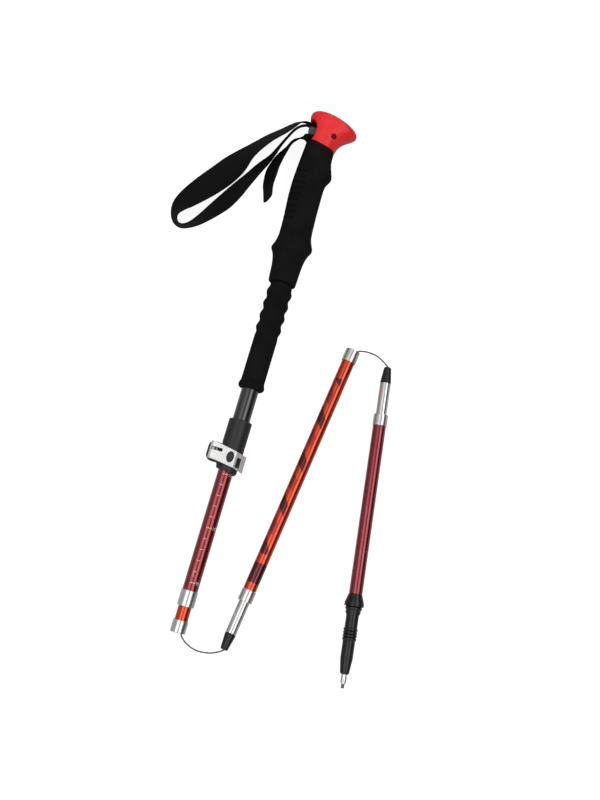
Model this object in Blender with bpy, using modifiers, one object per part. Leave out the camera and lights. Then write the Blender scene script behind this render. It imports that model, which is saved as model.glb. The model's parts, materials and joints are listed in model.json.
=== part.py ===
"""A folding trekking pole, lying folded on the ground.

Metres, +Z up. The handle section lies along +Y with its head at the far end. Each section is
modelled along its own +Z, with its front on -Y, and an empty lays it down.
"""

import math

import bmesh
import bpy
from mathutils import Matrix, Vector

# Tubes
UPPER_TUBE_OD = 0.016
UPPER_TUBE_WALL = 0.0007
SCALE_TUBE_OD = 0.014
SCALE_TUBE_WALL = 0.0007
SCALE_TUBE_LENGTH = 0.310
SLIM_TUBE_OD = 0.012
SLIM_TUBE_WALL = 0.0008
SLEEVE_LENGTH = 0.130
MIDDLE_TUBE_LENGTH = 0.2374
LOWER_TUBE_LENGTH = 0.1531

# Lengths that show along the handle section, from its mouth up
SLEEVE_COLLAR_LENGTH = 0.0112
SLEEVE_SHOWING = 0.0125
SCALE_COLLAR_LENGTH = 0.0143
SCALE_SHOWING = 0.108
CLAMP_LENGTH = 0.0503
BARE_TUBE_SHOWING = 0.0300
EXTENSION_LENGTH = 0.1047
GRIP_LENGTH = 0.1406

# Ferrules, spigots and noses
SCALE_COLLAR_OD = 0.0153
SLEEVE_COLLAR_OD = 0.0138
MOUTH_COLLAR_OD = 0.0136
MOUTH_COLLAR_LENGTH = 0.012
STOP_COLLAR_OD = 0.0131
STOP_COLLAR_LENGTH = 0.0108
SPIGOT_OD = 0.0098
SPIGOT_WALL = 0.001
SPIGOT_SHOWING = 0.030
SPIGOT_INSIDE = 0.025
NOSE_LENGTH = 0.0151
NOSE_TIP_OD = 0.0064
NOSE_BORE = 0.0028
NOSE_PLUG_LENGTH = 0.008
LIP = 0.0008

# Gaps
FIT_GAP = 0.0003
WEBBING_GAP = 0.00035

# Cable
CABLE_OD = 0.0014
CABLE_LENGTH_IN_NOSE = 0.070
CABLE_GAP = 0.006
PLUG_LENGTH = 0.008
FERRULE_OD = 0.004
FERRULE_LENGTH = 0.006

# Snap button
BUTTON_OD = 0.005
BUTTON_HEIGHT = 0.0721
BUTTON_DEPTH = 0.0035
BUTTON_FLANGE_OD = 0.0068
SPRING_WIRE = 0.0009
SPRING_ASIDE = 0.0018
SPRING_LENGTH = 0.0225

# Lever clamp
CLAMP_OD = 0.0215
CLAMP_FOOT_OD = 0.0198
CLAMP_BASE_OD = 0.0168
CLAMP_LIP = 0.0042
CLAMP_RIM = 0.0008
CLAMP_BASE_TAPER = 0.0020
CLAMP_FOOT_RISE = 0.0034
CLAMP_FOOT_LENGTH = 0.0050
CLAMP_BODY_START = 0.0072
CLAMP_GROOVE_AT = 0.0266
CLAMP_GROOVE_WIDTH = 0.0008
CLAMP_GROOVE_BEVEL = 0.0005
CLAMP_GROOVE_DEPTH = 0.0003
CLAMP_SLIT = 0.0016
CLAMP_SLIT_LENGTH = 0.030
CLAMP_SLIT_PAST_EARS = 0.003
EAR_REACH = 0.0214
EAR_START = 0.008
EAR_LENGTH = 0.0175
EAR_TOP = 0.0042
EAR_CORNER = 0.0045
EAR_SUNK = 0.0015
BARREL_ABOVE_EAR = 0.0091
SCREW_ABOVE_BARREL = 0.0014
BARREL_ACROSS = 0.016
BARREL_LIFT = 0.0089
BARREL_OD = 0.0044
BARREL_LENGTH = 0.0152
LEVER_THICKNESS = 0.0015
LEVER_FACE = 0.0126
LEVER_BEND_ACROSS = 0.0056
LEVER_END_ACROSS = 0.0148
LEVER_SLOT = 0.003
LEVER_SLOT_END = 0.007
LEVER_OVAL_WIDTH = 0.0068
LEVER_OVAL_STRETCH = 1.55
LEVER_OVAL_AT = (0.0012, -0.0024)
LEVER_WINDOW_WIDTH = 0.0036
LEVER_WINDOW_LENGTH = 0.0092
LEVER_WINDOW_AT = (0.0093, -0.0056)
CAM_OD = 0.0063
CAM_THROW = 0.00025
WASHER_THICKNESS = 0.0007
WASHER_WIDTH = 0.0068
SCREW_OD = 0.0023
SCREW_TOP = 0.0112
KNOB_OD = 0.0095
KNOB_HEIGHT = 0.0048
KNOB_RIBS = 12
KNOB_RIM = 0.0005
KNOB_GROOVE = 0.0004

# Foam
EXTENSION_OD = 0.0221
EXTENSION_RIM_OD = 0.0249
EXTENSION_RIM_LENGTH = 0.0068
EXTENSION_FOOT_OD = 0.0196
CREST_OD = 0.0243
GROOVE_OD = 0.0208
CREST_PITCH = 0.0117
CREST_COUNT = 4
CREST_FROM_TOP = 0.0095
FOAM_BORE_GAP = 0.0003

# Head and its seam with the foam
SEAM_TILT = -0.2374
SEAM_CROWN_RADIUS = 0.049
SEAM_ACROSS = -0.002
SEAM_ARC = 0.5
SEAM_BLOCK = 0.025
HEAD_TUBE_DEPTH = 0.0024
PIN_OD = 0.0044
PIN_ACROSS = 0.0081
PIN_ABOVE_SEAM = 0.0087
PIN_LENGTH = 0.0240

# Webbing
WEBBING_WIDTH = 0.0255
WEBBING_THICKNESS = 0.0015
TAIL_CUT = 0.0046
WEDGE_WIDTH = 0.0196
WEDGE_THICKNESS = 0.0085
WEDGE_LENGTH = 0.0107
WEDGE_OUTER_ACROSS = 0.0174
POCKET_FLARE_START = 0.0115
POCKET_FLARE = 0.0045
POCKET_FLARE_SIDE = 0.0030
POCKET_MOUTH = 0.022
POCKET_OUTER = -0.040
NOTCH_AT = (-0.0185, 0.0105)
NOTCH_WIDTH = 0.0176
NOTCH_STRETCH = 1.40

# How the webbing gathers on its way into the pocket: across, and half its width there
WEBBING_GATHER = (
    (-0.0260, WEBBING_WIDTH / 2),
    (-0.0130, 0.0098),
    (-0.0050, 0.0091),
)

# The wedge's thickness as a share of its greatest, from its outer end to its inner one
WEDGE_RIM = 0.0012
WEDGE_PROFILE = (
    (0.0, 0.35),
    (0.0006, 0.72),
    (0.0020, 0.95),
    (0.0040, 1.0),
    (WEDGE_LENGTH - 0.0008, 0.78),
    (WEDGE_LENGTH, 0.60),
)

# Tip
TIP_BODY_LENGTH = 0.0695
TIP_PLUG_LENGTH = 0.020
FLARE_OD = 0.0173
FLARE_LENGTH = 0.0106
SHAFT_RIDGE_OD = 0.0126
SHAFT_RIDGE_COUNT = 4
SHAFT_RIDGE_PITCH = 0.0027
SHAFT_RIDGES_BELOW = 0.0302
SHAFT_OD = 0.0110
SHAFT_LENGTH = 0.056
TIP_END_OD = 0.0082
FLEX_TIP_OD = 0.0052
FLEX_TIP_SHOWING = 0.0080
FLEX_TIP_INSIDE = 0.012
CARBIDE_OD = 0.0029
CARBIDE_SHOWING = 0.0040
CARBIDE_INSIDE = 0.0045

# The tip body's outline down to its neck: diameter, and how far below the lower tube's end
TIP_STATIONS = (
    (0.0126, 0.0),
    (0.0130, 0.0012),
    (0.0163, 0.0060),
    (FLARE_OD, 0.0074),
    (FLARE_OD, FLARE_LENGTH),
    (0.0152, FLARE_LENGTH),
    (0.0137, 0.0110),
    (0.0149, 0.0117),
    (0.0149, 0.0132),
    (0.0132, 0.0138),
    (0.0134, 0.0164),
    (0.0117, 0.0177),
    (0.0113, 0.0192),
    (0.0113, 0.0296),
)

# Where the folded sections lie: how far each nose's tip is from the mouth that its cable leaves,
# across and along the handle section, and how far the section is turned on the ground
MIDDLE_NOSE_AT = (0.0433, -0.0028)
MIDDLE_TURN = -7.30
LOWER_NOSE_AT = (0.0350, -0.0065)
LOWER_TURN = 187.16

# The free cable's route from each mouth to the next nose, across the mouth and out from it
BEND_1 = (
    (0.0027, -0.0030),
    (0.0036, 0.0006),
    (0.0060, 0.0036),
    (0.0098, 0.0064),
    (0.0160, 0.0091),
    (0.0230, 0.0101),
    (0.0315, 0.0091),
    (0.0380, 0.0066),
)
BEND_2 = (
    (0.0027, -0.0030),
    (0.0040, 0.0004),
    (0.0066, 0.0023),
    (0.0120, 0.0038),
    (0.0180, 0.0043),
    (0.0230, 0.0038),
    (0.0290, 0.0017),
)
CABLE_INTO_NOSE = 0.0025

# The clamp lever's long edges: across, then the upper and the lower edge from the barrel's middle
LEVER_EDGES = (
    (-0.0120, 0.0079, -0.0079),
    (LEVER_BEND_ACROSS, 0.0037, -0.0111),
    (LEVER_END_ACROSS, 0.0021, -0.0133),
)

# The main grip's lower outline: the right-hand point, then the left-hand one, each across and above
# the grip's foot, and then half its depth
GRIP_STATIONS = (
    (0.0126, 0.0000, -0.0134, 0.0000, 0.0126),
    (0.0129, 0.0070, -0.0141, 0.0070, 0.0134),
    (0.0132, 0.0170, -0.0148, 0.0165, 0.0137),
    (0.0142, 0.0270, -0.0165, 0.0250, 0.0141),
    (0.0162, 0.0335, -0.0184, 0.0290, 0.0147),
    (0.0184, 0.0382, -0.0200, 0.0322, 0.0150),
    (0.0166, 0.0430, -0.0182, 0.0365, 0.0147),
    (0.0142, 0.0500, -0.0165, 0.0455, 0.0142),
    (0.0131, 0.0650, -0.0172, 0.0650, 0.0140),
)

# The grip's upper outline, the same way, above the seam
GRIP_TOP_STATIONS = (
    (0.0125, -0.0556, -0.0187, -0.0556, 0.0140),
    (0.0124, -0.0410, -0.0190, -0.0406, 0.0139),
    (0.0136, -0.0345, -0.0188, -0.0350, 0.0138),
    (0.0166, -0.0290, -0.0186, -0.0290, 0.0138),
    (0.0145, -0.0216, -0.0181, -0.0206, 0.0138),
    (0.0121, -0.0136, -0.0174, -0.0106, 0.0138),
    (0.0118, -0.0036, -0.0166, 0.0019, 0.0137),
    (0.0118, 0.0044, -0.0160, 0.0104, 0.0137),
)

# The head's outline, the same way, above the seam
HEAD_STATIONS = (
    (0.0110, -0.0120, -0.0154, -0.0050, 0.0136),
    (0.0119, -0.0045, -0.0160, 0.0015, 0.0138),
    (0.0130, 0.0016, -0.0163, 0.0060, 0.0146),
    (0.0160, 0.0075, -0.0169, 0.0125, 0.0156),
    (0.0211, 0.0121, -0.0178, 0.0182, 0.0162),
    (0.0259, 0.0149, -0.0189, 0.0226, 0.0169),
    (0.0283, 0.0174, -0.0198, 0.0262, 0.0175),
    (0.0284, 0.0193, -0.0198, 0.0291, 0.0174),
    (0.0271, 0.0213, -0.0186, 0.0313, 0.0167),
    (0.0238, 0.0236, -0.0154, 0.0329, 0.0146),
    (0.0187, 0.0262, -0.0103, 0.0335, 0.0110),
    (0.0119, 0.0287, -0.0040, 0.0332, 0.0064),
)

# The webbing's route, across, above the seam, towards the front, and its lean in degrees. It goes
# out along the loop, comes back, turns round the pin and leaves as the tail
WEBBING_ROUTE = (
    (-0.0085, 0.0184, 0.0000, 0),
    (-0.0140, 0.0186, 0.0000, 1),
    (-0.0165, 0.0191, 0.0000, 4),
    (-0.0190, 0.0201, 0.0000, 11),
    (-0.0215, 0.0211, -0.0001, 15),
    (-0.0250, 0.0206, -0.0003, 18),
    (-0.0304, 0.0181, -0.0006, 24),
    (-0.0405, 0.0077, -0.0012, 34),
    (-0.0516, -0.0028, -0.0016, 38),
    (-0.0613, -0.0144, -0.0018, 44),
    (-0.0699, -0.0261, -0.0020, 56),
    (-0.0772, -0.0396, -0.0020, 80),
    (-0.0849, -0.0516, -0.0020, 88),
    (-0.0935, -0.0628, -0.0020, 86),
    (-0.1019, -0.0731, -0.0020, 78),
    (-0.1098, -0.0835, -0.0020, 66),
    (-0.1144, -0.0920, -0.0019, 53),
    (-0.1158, -0.1012, -0.0018, 30),
    (-0.1134, -0.1076, -0.0017, 8),
    (-0.1078, -0.1110, -0.0017, -9),
    (-0.1010, -0.1083, -0.0018, -9),
    (-0.0928, -0.1006, -0.0018, 1),
    (-0.0829, -0.0878, -0.0018, 12),
    (-0.0743, -0.0757, -0.0018, 18),
    (-0.0671, -0.0632, -0.0018, 16),
    (-0.0609, -0.0514, -0.0017, 9),
    (-0.0537, -0.0372, -0.0016, 2),
    (-0.0463, -0.0246, -0.0014, -6),
    (-0.0421, -0.0147, -0.0010, -9),
    (-0.0378, -0.0032, -0.0008, -13),
    (-0.0325, 0.0083, -0.0005, -15),
    (-0.0270, 0.0157, -0.0002, -17),
    (-0.0215, 0.0187, -0.0001, -19),
    (-0.0190, 0.0182, 0.0000, -10),
    (-0.0165, 0.0169, 0.0000, -3),
    (-0.0105, 0.0163, 0.0000, 0),
)
TAIL_ROUTE = (
    (-0.0020, 0.0054, 0.0000, 0),
    (-0.0120, 0.0054, 0.0000, 0),
    (-0.0165, 0.0054, 0.0000, 0),
    (-0.0182, 0.0056, 0.0000, 3),
    (-0.0199, 0.0057, 0.0000, 12),
    (-0.0218, 0.0049, -0.0001, 20),
    (-0.0270, 0.0018, -0.0004, 25),
    (-0.0320, -0.0059, -0.0008, 20),
    (-0.0365, -0.0162, -0.0012, 27),
    (-0.0392, -0.0254, -0.0015, 30),
    (-0.0406, -0.0330, -0.0018, 31),
    (-0.0405, -0.0400, -0.0020, 29),
    (-0.0402, -0.0465, -0.0020, 25),
    (-0.0391, -0.0530, -0.0020, 17),
    (-0.0364, -0.0638, -0.0020, 12),
)

# Smoothness
TUBE_SIDES = 24
SMALL_SIDES = 16
GRIP_SIDES = 24
CREST_STEPS = 5
RIBBON_STEPS = 2

# Heights along the handle section, from its mouth
SCALE_COLLAR_BOTTOM = SLEEVE_COLLAR_LENGTH + SLEEVE_SHOWING
SCALE_COLLAR_TOP = SCALE_COLLAR_BOTTOM + SCALE_COLLAR_LENGTH
CLAMP_BOTTOM = SCALE_COLLAR_TOP + SCALE_SHOWING
CLAMP_TOP = CLAMP_BOTTOM + CLAMP_LENGTH
EXTENSION_BOTTOM = CLAMP_TOP + BARE_TUBE_SHOWING
GRIP_BOTTOM = EXTENSION_BOTTOM + EXTENSION_LENGTH
SEAM_HEIGHT = GRIP_BOTTOM + GRIP_LENGTH
TUBE_TOP = SEAM_HEIGHT + HEAD_TUBE_DEPTH
BORE_CEILING = TUBE_TOP + FIT_GAP
PIN_HEIGHT = SEAM_HEIGHT + PIN_ABOVE_SEAM
EAR_BOTTOM = CLAMP_BOTTOM + EAR_START
BARREL_HEIGHT = EAR_BOTTOM + BARREL_ABOVE_EAR
SCREW_HEIGHT = BARREL_HEIGHT + SCREW_ABOVE_BARREL

# Heights along a folding section, from its nose's tip
SPIGOT_SEAT = NOSE_LENGTH + SPIGOT_SHOWING
STOP_COLLAR_TOP = SPIGOT_SEAT + STOP_COLLAR_LENGTH
FOLD_TUBE_BOTTOM = STOP_COLLAR_TOP + FIT_GAP
MIDDLE_MOUTH = FOLD_TUBE_BOTTOM + MIDDLE_TUBE_LENGTH + FIT_GAP + LIP
TIP_BODY_BOTTOM = FOLD_TUBE_BOTTOM + LOWER_TUBE_LENGTH

UPPER_BORE = UPPER_TUBE_OD - 2 * UPPER_TUBE_WALL
SCALE_BORE = SCALE_TUBE_OD - 2 * SCALE_TUBE_WALL
SLIM_BORE = SLIM_TUBE_OD - 2 * SLIM_TUBE_WALL


def clear_scene():
    for old in list(bpy.data.objects):
        bpy.data.objects.remove(old, do_unlink=True)


def new_collection(name, hidden=False):
    made = bpy.data.collections.new(name)
    bpy.context.scene.collection.children.link(made)
    made.hide_render = hidden
    return made


def new_material(name, colour, roughness, metallic=0.0):
    made = bpy.data.materials.new(name)
    made.use_nodes = True
    shader = made.node_tree.nodes["Principled BSDF"]
    shader.inputs["Base Color"].default_value = (*colour, 1.0)
    shader.inputs["Roughness"].default_value = roughness
    shader.inputs["Metallic"].default_value = metallic
    made.diffuse_color = (*colour, 1.0)
    return made


def place(obj, parent=None, location=(0, 0, 0), rotation=(0, 0, 0)):
    obj.parent = parent
    obj.location = location
    obj.rotation_euler = rotation
    return obj


def new_empty(name, parent=None, location=(0, 0, 0), rotation=(0, 0, 0)):
    made = bpy.data.objects.new(name, None)
    made.empty_display_size = 0.01
    parts.objects.link(made)
    return place(made, parent, location, rotation)


def new_object(name, data, material, parent=None, where=None):
    made = bpy.data.objects.new(name, data)
    (where or parts).objects.link(made)
    if where is cutters:
        made.hide_render = True
        made.display_type = "WIRE"
    if material is not None:
        data.materials.append(material)
    return place(made, parent)


def mesh_of(name, builder, smooth=30):
    """A mesh from a bmesh that the builder fills, with its normals made outward."""
    filled = bmesh.new()
    builder(filled)
    bmesh.ops.recalc_face_normals(filled, faces=filled.faces)
    data = bpy.data.meshes.new(name)
    filled.to_mesh(data)
    filled.free()
    data.shade_smooth()
    data.set_sharp_from_angle(angle=math.radians(smooth))
    return data


def turned(name, outline, material, parent=None, sides=TUBE_SIDES, where=None):
    """Turns (radius, height) points, which run down the outer side, about the object's Z axis.
    An outline that starts off the axis is closed on itself, for a hollow piece."""
    data = bpy.data.meshes.new(name)
    count = len(outline)
    edges = [(i, i + 1) for i in range(count - 1)]
    if outline[0][0] > 0:
        edges.append((count - 1, 0))
    data.from_pydata([(radius, 0, height) for radius, height in outline], edges, [])
    made = new_object(name, data, material, parent, where)
    screw = made.modifiers.new("turn", "SCREW")
    screw.steps = sides
    screw.render_steps = sides
    screw.use_merge_vertices = True
    screw.merge_threshold = 0.00001
    screw.use_smooth_shade = True
    return made


def hollow(bottom, top, outer_od, bore_od, rim=0.0):
    """A closed outline of a plain ring or tube, with small chamfers where rim is given."""
    outer = outer_od / 2
    bore = bore_od / 2
    if not rim:
        return [(outer, top), (outer, bottom), (bore, bottom), (bore, top)]
    return [
        (outer - rim, top),
        (outer, top - rim),
        (outer, bottom + rim),
        (outer - rim, bottom),
        (bore, bottom),
        (bore, top),
    ]


def cutter_box(name, low, high, parent=None):
    def fill(mesh):
        size = Vector(high) - Vector(low)
        middle = (Vector(high) + Vector(low)) / 2
        bmesh.ops.create_cube(mesh, size=1.0)
        bmesh.ops.scale(mesh, vec=size, verts=mesh.verts)
        bmesh.ops.translate(mesh, vec=middle, verts=mesh.verts)

    return new_object(name, mesh_of(name, fill), None, parent, cutters)


def cutter_rod(name, diameter, start, end, parent=None, sides=SMALL_SIDES, stretch=1.0):
    """A straight rod between two points, for holes. Its section is stretched along Z if asked."""
    start = Vector(start)
    end = Vector(end)
    turn = (end - start).to_track_quat("Z", "Y").to_matrix().to_4x4()

    def fill(mesh):
        bmesh.ops.create_cone(
            mesh,
            cap_ends=True,
            segments=sides,
            radius1=diameter / 2,
            radius2=diameter / 2,
            depth=(end - start).length,
        )
        bmesh.ops.transform(mesh, matrix=turn, verts=mesh.verts)
        bmesh.ops.scale(mesh, vec=(1, 1, stretch), verts=mesh.verts)
        bmesh.ops.translate(mesh, vec=(start + end) / 2, verts=mesh.verts)

    return new_object(name, mesh_of(name, fill), None, parent, cutters)


def combine(obj, other, operation):
    made = obj.modifiers.new(other.name, "BOOLEAN")
    made.operation = operation
    made.solver = "EXACT"
    made.object = other
    return obj


def cut(obj, other):
    return combine(obj, other, "DIFFERENCE")


def join(obj, other):
    return combine(obj, other, "UNION")


def smooth_route(points, steps):
    """A smooth line through points of any dimension, with the given steps between two of them."""
    found = []
    for i in range(len(points) - 1):
        before = Vector(points[max(i - 1, 0)])
        start = Vector(points[i])
        end = Vector(points[i + 1])
        after = Vector(points[min(i + 2, len(points) - 1)])
        for step in range(steps):
            t = step / steps
            found.append(
                (
                    2 * start
                    + (end - before) * t
                    + (2 * before - 5 * start + 4 * end - after) * t**2
                    + (3 * start - before - 3 * end + after) * t**3
                )
                / 2
            )
    found.append(Vector(points[-1]))
    return found


def loft(name, rings, material, parent=None, where=None, smooth=35):
    """A closed skin over rings with the same number of points each, capped at both ends."""

    def fill(mesh):
        rows = [[mesh.verts.new(point) for point in ring] for ring in rings]
        for low, high in zip(rows, rows[1:]):
            for i in range(len(low)):
                j = (i + 1) % len(low)
                mesh.faces.new((low[i], low[j], high[j], high[i]))
        caps = [mesh.faces.new(rows[0]), mesh.faces.new(rows[-1])]
        bmesh.ops.triangulate(mesh, faces=caps)

    return new_object(name, mesh_of(name, fill, smooth), material, parent, where)


def cable(name, points, material, parent=None, steps=4, diameter=CABLE_OD):
    """A round wire along a smooth line through the given points."""
    route = smooth_route(points, steps)
    data = bpy.data.curves.new(name, "CURVE")
    data.dimensions = "3D"
    data.bevel_depth = diameter / 2
    data.bevel_resolution = 2
    data.use_fill_caps = True
    line = data.splines.new("POLY")
    line.points.add(len(route) - 1)
    for point, at in zip(line.points, route):
        point.co = (*at[:3], 1.0)
    return new_object(name, data, material, parent)


def oval_ring(station, base, squareness=2.25, sides=GRIP_SIDES):
    """One ring of the grip or head: an oval between a right and a left point, each with a height."""
    right, right_height, left, left_height, half_depth = station
    ring = []
    for i in range(sides):
        turn = 2 * math.pi * i / sides
        reach = math.copysign(abs(math.cos(turn)) ** (2 / squareness), math.cos(turn))
        depth = math.copysign(abs(math.sin(turn)) ** (2 / squareness), math.sin(turn))
        share = (1 + reach) / 2
        across = left + (right - left) * share
        height = left_height + (right_height - left_height) * share
        ring.append((across, depth * half_depth, base + height))
    return ring


def seam_cutter(name, lift, side, parent):
    """A block on one side of the seam between the foam and the head: 1 is above it, -1 below it.
    The seam slants across and is crowned from front to back."""
    tilt = Vector((1, 0, SEAM_TILT)).normalized()
    rise = Vector((-tilt.z, 0, tilt.x))
    depth = Vector((0, 1, 0))
    radius = SEAM_CROWN_RADIUS + lift
    middle = Vector((SEAM_ACROSS, 0, SEAM_HEIGHT)) - rise * SEAM_CROWN_RADIUS
    steps = 10
    section = []
    for step in range(steps + 1):
        angle = SEAM_ARC * (2 * step / steps - 1)
        section.append(depth * radius * math.sin(angle) + rise * radius * math.cos(angle))
    far = rise * (SEAM_CROWN_RADIUS + side * SEAM_BLOCK)
    half_depth = depth * radius * math.sin(SEAM_ARC)
    section += [far + half_depth, far - half_depth]
    rings = [[middle + end + point for point in section] for end in (tilt * -0.05, tilt * 0.05)]
    return loft(name, rings, None, parent, cutters)


# Handle section


def grip_head(parent, finish):
    stations = smooth_route(HEAD_STATIONS, 2)
    rings = [oval_ring(station, SEAM_HEIGHT, 2.1) for station in stations]
    head = loft("grip_head", rings, finish["red"], parent)
    cut(head, seam_cutter("below_head", FIT_GAP, -1, parent))
    bore = UPPER_TUBE_OD + 2 * FIT_GAP
    low = (0, 0, GRIP_BOTTOM)
    cut(head, cutter_rod("head_bore", bore, low, (0, 0, BORE_CEILING), parent, TUBE_SIDES))
    pin_bore = PIN_OD + 2 * FIT_GAP
    pin_ends = ((PIN_ACROSS, -0.03, PIN_HEIGHT), (PIN_ACROSS, 0.03, PIN_HEIGHT))
    cut(head, cutter_rod("pin_bore", pin_bore, *pin_ends, parent))
    floor = pocket_floor()
    ceiling = SEAM_HEIGHT + WEBBING_ROUTE[0][1] + WEBBING_THICKNESS / 2 + WEBBING_GAP
    sides = [(POCKET_OUTER, WEBBING_GATHER[1][1])] + list(WEBBING_GATHER[1:])
    sides.append((PIN_ACROSS, WEBBING_GATHER[-1][1]))
    rings = [pocket_ring(across, half + 2 * WEBBING_GAP, floor, ceiling) for across, half in sides]
    cut(head, loft("strap_pocket", rings, None, parent, cutters))
    room = PIN_OD + 2 * WEBBING_THICKNESS + 4 * WEBBING_GAP
    half_width = WEBBING_GATHER[-1][1] + 2 * WEBBING_GAP
    room_ends = ((PIN_ACROSS, -half_width, PIN_HEIGHT), (PIN_ACROSS, half_width, PIN_HEIGHT))
    cut(head, cutter_rod("pin_room", room, *room_ends, parent, TUBE_SIDES))
    rings = []
    for across, lift, aside in (
        (POCKET_FLARE_START, 0.0, 0.0),
        (POCKET_MOUTH, POCKET_FLARE, POCKET_FLARE_SIDE),
    ):
        half = WEBBING_GATHER[1][1] + 2 * WEBBING_GAP + aside
        rings.append(pocket_ring(-across, half, floor + 0.001, ceiling + lift))
    cut(head, loft("pocket_flare", rings, None, parent, cutters))
    notch_height = SEAM_HEIGHT + NOTCH_AT[1]
    notch_ends = ((NOTCH_AT[0], -0.03, notch_height), (NOTCH_AT[0], 0.03, notch_height))
    notch = cutter_rod(
        "strap_notch", NOTCH_WIDTH, *notch_ends, parent, 2 * TUBE_SIDES, NOTCH_STRETCH
    )
    return cut(head, notch)


def pocket_ring(across, half_width, low, high):
    return [
        (across, -half_width, low),
        (across, half_width, low),
        (across, half_width, high),
        (across, -half_width, high),
    ]


def webbing_half_width(across):
    """Half the webbing's width, which gathers where it goes into the head's pocket."""
    for (outer, outer_half), (inner, inner_half) in zip(WEBBING_GATHER, WEBBING_GATHER[1:]):
        if across <= inner:
            share = max(0.0, (across - outer) / (inner - outer))
            return outer_half + (inner_half - outer_half) * share
    return WEBBING_GATHER[-1][1]


def pocket_floor():
    return SEAM_HEIGHT + TAIL_ROUTE[0][1] - WEBBING_THICKNESS / 2 - WEBBING_GAP


def strap_pin(parent, finish):
    pin = turned(
        "strap_pin",
        [
            (0, PIN_LENGTH / 2),
            (PIN_OD / 2, PIN_LENGTH / 2),
            (PIN_OD / 2, -PIN_LENGTH / 2),
            (0, -PIN_LENGTH / 2),
        ],
        finish["steel"],
        parent,
        SMALL_SIDES,
    )
    place(pin, parent, (PIN_ACROSS, 0, PIN_HEIGHT), (math.pi / 2, 0, 0))
    return pin


def webbing_route():
    """The whole route: the loop, a half turn round the pin, and the tail. It is a list of
    (across, height, front, lean)."""
    radius = PIN_OD / 2 + WEBBING_GAP + WEBBING_THICKNESS / 2
    above_seam = PIN_HEIGHT - SEAM_HEIGHT
    turn = []
    for step in range(9):
        angle = math.radians(100 - 190 * step / 8)
        turn.append(
            (
                PIN_ACROSS + radius * math.cos(angle),
                above_seam + radius * math.sin(angle),
                0.0,
                0.0,
            )
        )
    return smooth_route(WEBBING_ROUTE, RIBBON_STEPS) + [Vector(p) for p in turn] + smooth_route(
        TAIL_ROUTE, RIBBON_STEPS
    )


def wrist_strap(parent, finish):
    route = webbing_route()
    places = [Vector((p[0], -p[2], SEAM_HEIGHT + p[1])) for p in route]
    rings = []
    edge = WEBBING_THICKNESS * 0.25
    half = WEBBING_THICKNESS / 2
    for i, at in enumerate(places):
        half_width = webbing_half_width(at.x)
        corners = (
            (half_width, half - edge),
            (half_width - edge, half),
            (-half_width + edge, half),
            (-half_width, half - edge),
            (-half_width, -half + edge),
            (-half_width + edge, -half),
            (half_width - edge, -half),
            (half_width, -half + edge),
        )
        along = (places[min(i + 1, len(places) - 1)] - places[max(i - 1, 0)]).normalized()
        lean = math.radians(route[i][3])
        front = Vector((0, -1, 0))
        inward = Vector((-along.z, 0, along.x)).normalized()
        width = (front * math.cos(lean) + inward * math.sin(lean)).normalized()
        thick = along.cross(width).normalized()
        cut_slant = TAIL_CUT / half_width if i == len(places) - 1 else 0.0
        rings.append([at + width * w + thick * t + along * w * cut_slant for w, t in corners])
    return loft("wrist_strap", rings, finish["webbing"], parent)


def strap_wedge(parent, finish):
    """The locking wedge between the loop and the tail, with a rounded outer end and a thin inner one."""
    low = pocket_floor() + WEBBING_THICKNESS + 2 * WEBBING_GAP
    middle = low + WEDGE_THICKNESS / 2
    rim = WEDGE_RIM
    rings = []
    for across, share in WEDGE_PROFILE:
        half = share * WEDGE_THICKNESS / 2
        wide = WEDGE_WIDTH / 2 - (0.0008 if share < 0.5 else 0.0)
        corners = (
            (wide, half - rim),
            (wide - rim, half),
            (-wide + rim, half),
            (-wide, half - rim),
            (-wide, -half + rim),
            (-wide + rim, -half),
            (wide - rim, -half),
            (wide, -half + rim),
        )
        rings.append([(across, w, t) for w, t in corners])
    wedge = loft("strap_wedge", rings, finish["grey"], parent)
    place(wedge, parent, (-WEDGE_OUTER_ACROSS, 0, middle))
    return wedge


def foam_grip(parent, finish):
    stations = list(GRIP_STATIONS)
    for right, right_height, left, left_height, half_depth in GRIP_TOP_STATIONS:
        stations.append(
            (right, GRIP_LENGTH + right_height, left, GRIP_LENGTH + left_height, half_depth)
        )
    rings = [oval_ring(station, GRIP_BOTTOM) for station in smooth_route(stations, 2)]
    foam = loft("foam_grip", rings, finish["foam"], parent)
    cut(foam, seam_cutter("above_foam", 0.0, 1, parent))
    bore = UPPER_TUBE_OD + 2 * FOAM_BORE_GAP
    below = (0, 0, GRIP_BOTTOM - 0.02)
    above = (0, 0, SEAM_HEIGHT + 0.02)
    cut(foam, cutter_rod("grip_bore", bore, below, above, parent, TUBE_SIDES))
    return foam


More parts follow.
